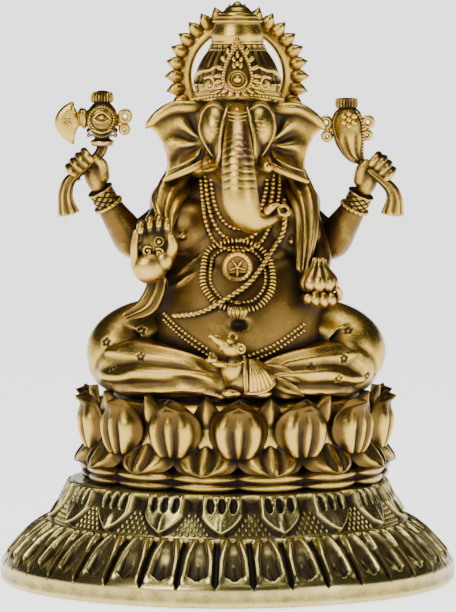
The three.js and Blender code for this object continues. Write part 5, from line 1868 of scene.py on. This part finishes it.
class MakeStudio(bpy.types.Operator):
    """Adds the round pale sheet under and behind the statuette, the softboxes and the camera"""

    bl_idname = "statuette.studio"
    bl_label = "Studio"

    def execute(self, context):
        scene = context.scene
        # A round sheet, level to 1.5 m and then rising with the cube of the distance.
        turn = np.linspace(0, 2 * np.pi, 97)[:, None]
        reach = np.array([[0.0, 0.01, 0.5, 1.2, 1.8, 2.2, 2.5, 2.75, 2.9, 3.0]])
        rise = 0.45 * np.maximum(0, (reach - 1.5) / 1.5) ** 3
        points = np.stack([reach * np.sin(turn), -reach * np.cos(turn), rise + 0 * turn], -1)
        index = np.arange(points[..., 0].size).reshape(points.shape[:2])
        faces = np.stack([index[:-1, :-1], index[:-1, 1:], index[1:, 1:], index[1:, :-1]], -1)
        mesh = bpy.data.meshes.new("backdrop")
        mesh.from_pydata(points.reshape(-1, 3).tolist(), [], faces.reshape(-1, 4).tolist())
        mesh.shade_smooth()
        paper = Shader("pale_paper")
        shade = tuple(scene.statuette_colours.floor)
        mottled = paper.mix(paper.noise(60, 3), tuple(c * 0.985 for c in shade), shade)
        paper.feed(paper.surface.inputs["Base Color"], mottled)
        paper.set(Roughness=0.9)
        paper.surface.inputs["Emission Color"].default_value = (*shade, 1)
        paper.surface.inputs["Emission Strength"].default_value = PAPER_GLOW
        mesh.materials.append(paper.material)
        sheet = bpy.data.objects.new("backdrop", mesh)
        scene.collection.objects.link(sheet)

        for name, (at, width, height, power) in SOFTBOXES.items():
            soft_light(name, at, AIM, width, height, power)
        world = bpy.data.worlds.new("studio")
        world.use_nodes = True
        world.node_tree.nodes["Background"].inputs[0].default_value = (1, 1, 1, 1)
        world.node_tree.nodes["Background"].inputs[1].default_value = WORLD_GLOW
        scene.world = world

        lens = bpy.data.cameras.new("camera")
        lens.sensor_width = 36
        lens.lens = LENS_MM
        lens.clip_start, lens.clip_end = 0.05, 10
        camera = bpy.data.objects.new("camera", lens)
        camera.location = CAMERA_AT
        camera.rotation_euler = (np.radians(90 - CAMERA_DIP), 0, 0)
        scene.collection.objects.link(camera)
        scene.camera = camera
        return {"FINISHED"}


PIECES = (
    MakePlinth, FinishHardware, MakeLotus, MakeTorso, MakeLegs, MakeHead, MakeCrown, MakeHalo,
    MakeRearArms, MakeAxe, MakeConch, MakeFrontArms, MakeShawls, MakeOrnaments, MakeMouse, MakeStudio,
)


class StatuettePanel(bpy.types.Panel):
    """Lists the sizes, the colours and a button for each piece"""

    bl_idname = "VIEW3D_PT_statuette"
    bl_label = "Brass statuette"
    bl_space_type = "VIEW_3D"
    bl_region_type = "UI"
    bl_category = "Statuette"

    def draw(self, context):
        for group in (context.scene.statuette_sizes, context.scene.statuette_colours):
            box = self.layout.box()
            for key in group.__annotations__:
                box.prop(group, key)
        column = self.layout.column(align=True)
        for piece in PIECES:
            column.operator(piece.bl_idname)


CLASSES = (StatuetteSizes, StatuetteColours, *PIECES, StatuettePanel)


def register():
    for item in CLASSES:
        bpy.utils.register_class(item)
    bpy.types.Scene.statuette_sizes = PointerProperty(type=StatuetteSizes)
    bpy.types.Scene.statuette_colours = PointerProperty(type=StatuetteColours)


def unregister():
    del bpy.types.Scene.statuette_colours
    del bpy.types.Scene.statuette_sizes
    for item in reversed(CLASSES):
        bpy.utils.unregister_class(item)


def main():
    register()
    for piece in PIECES:
        group, call = piece.bl_idname.split(".")
        getattr(getattr(bpy.ops, group), call)()


if __name__ == "__main__":
    main()
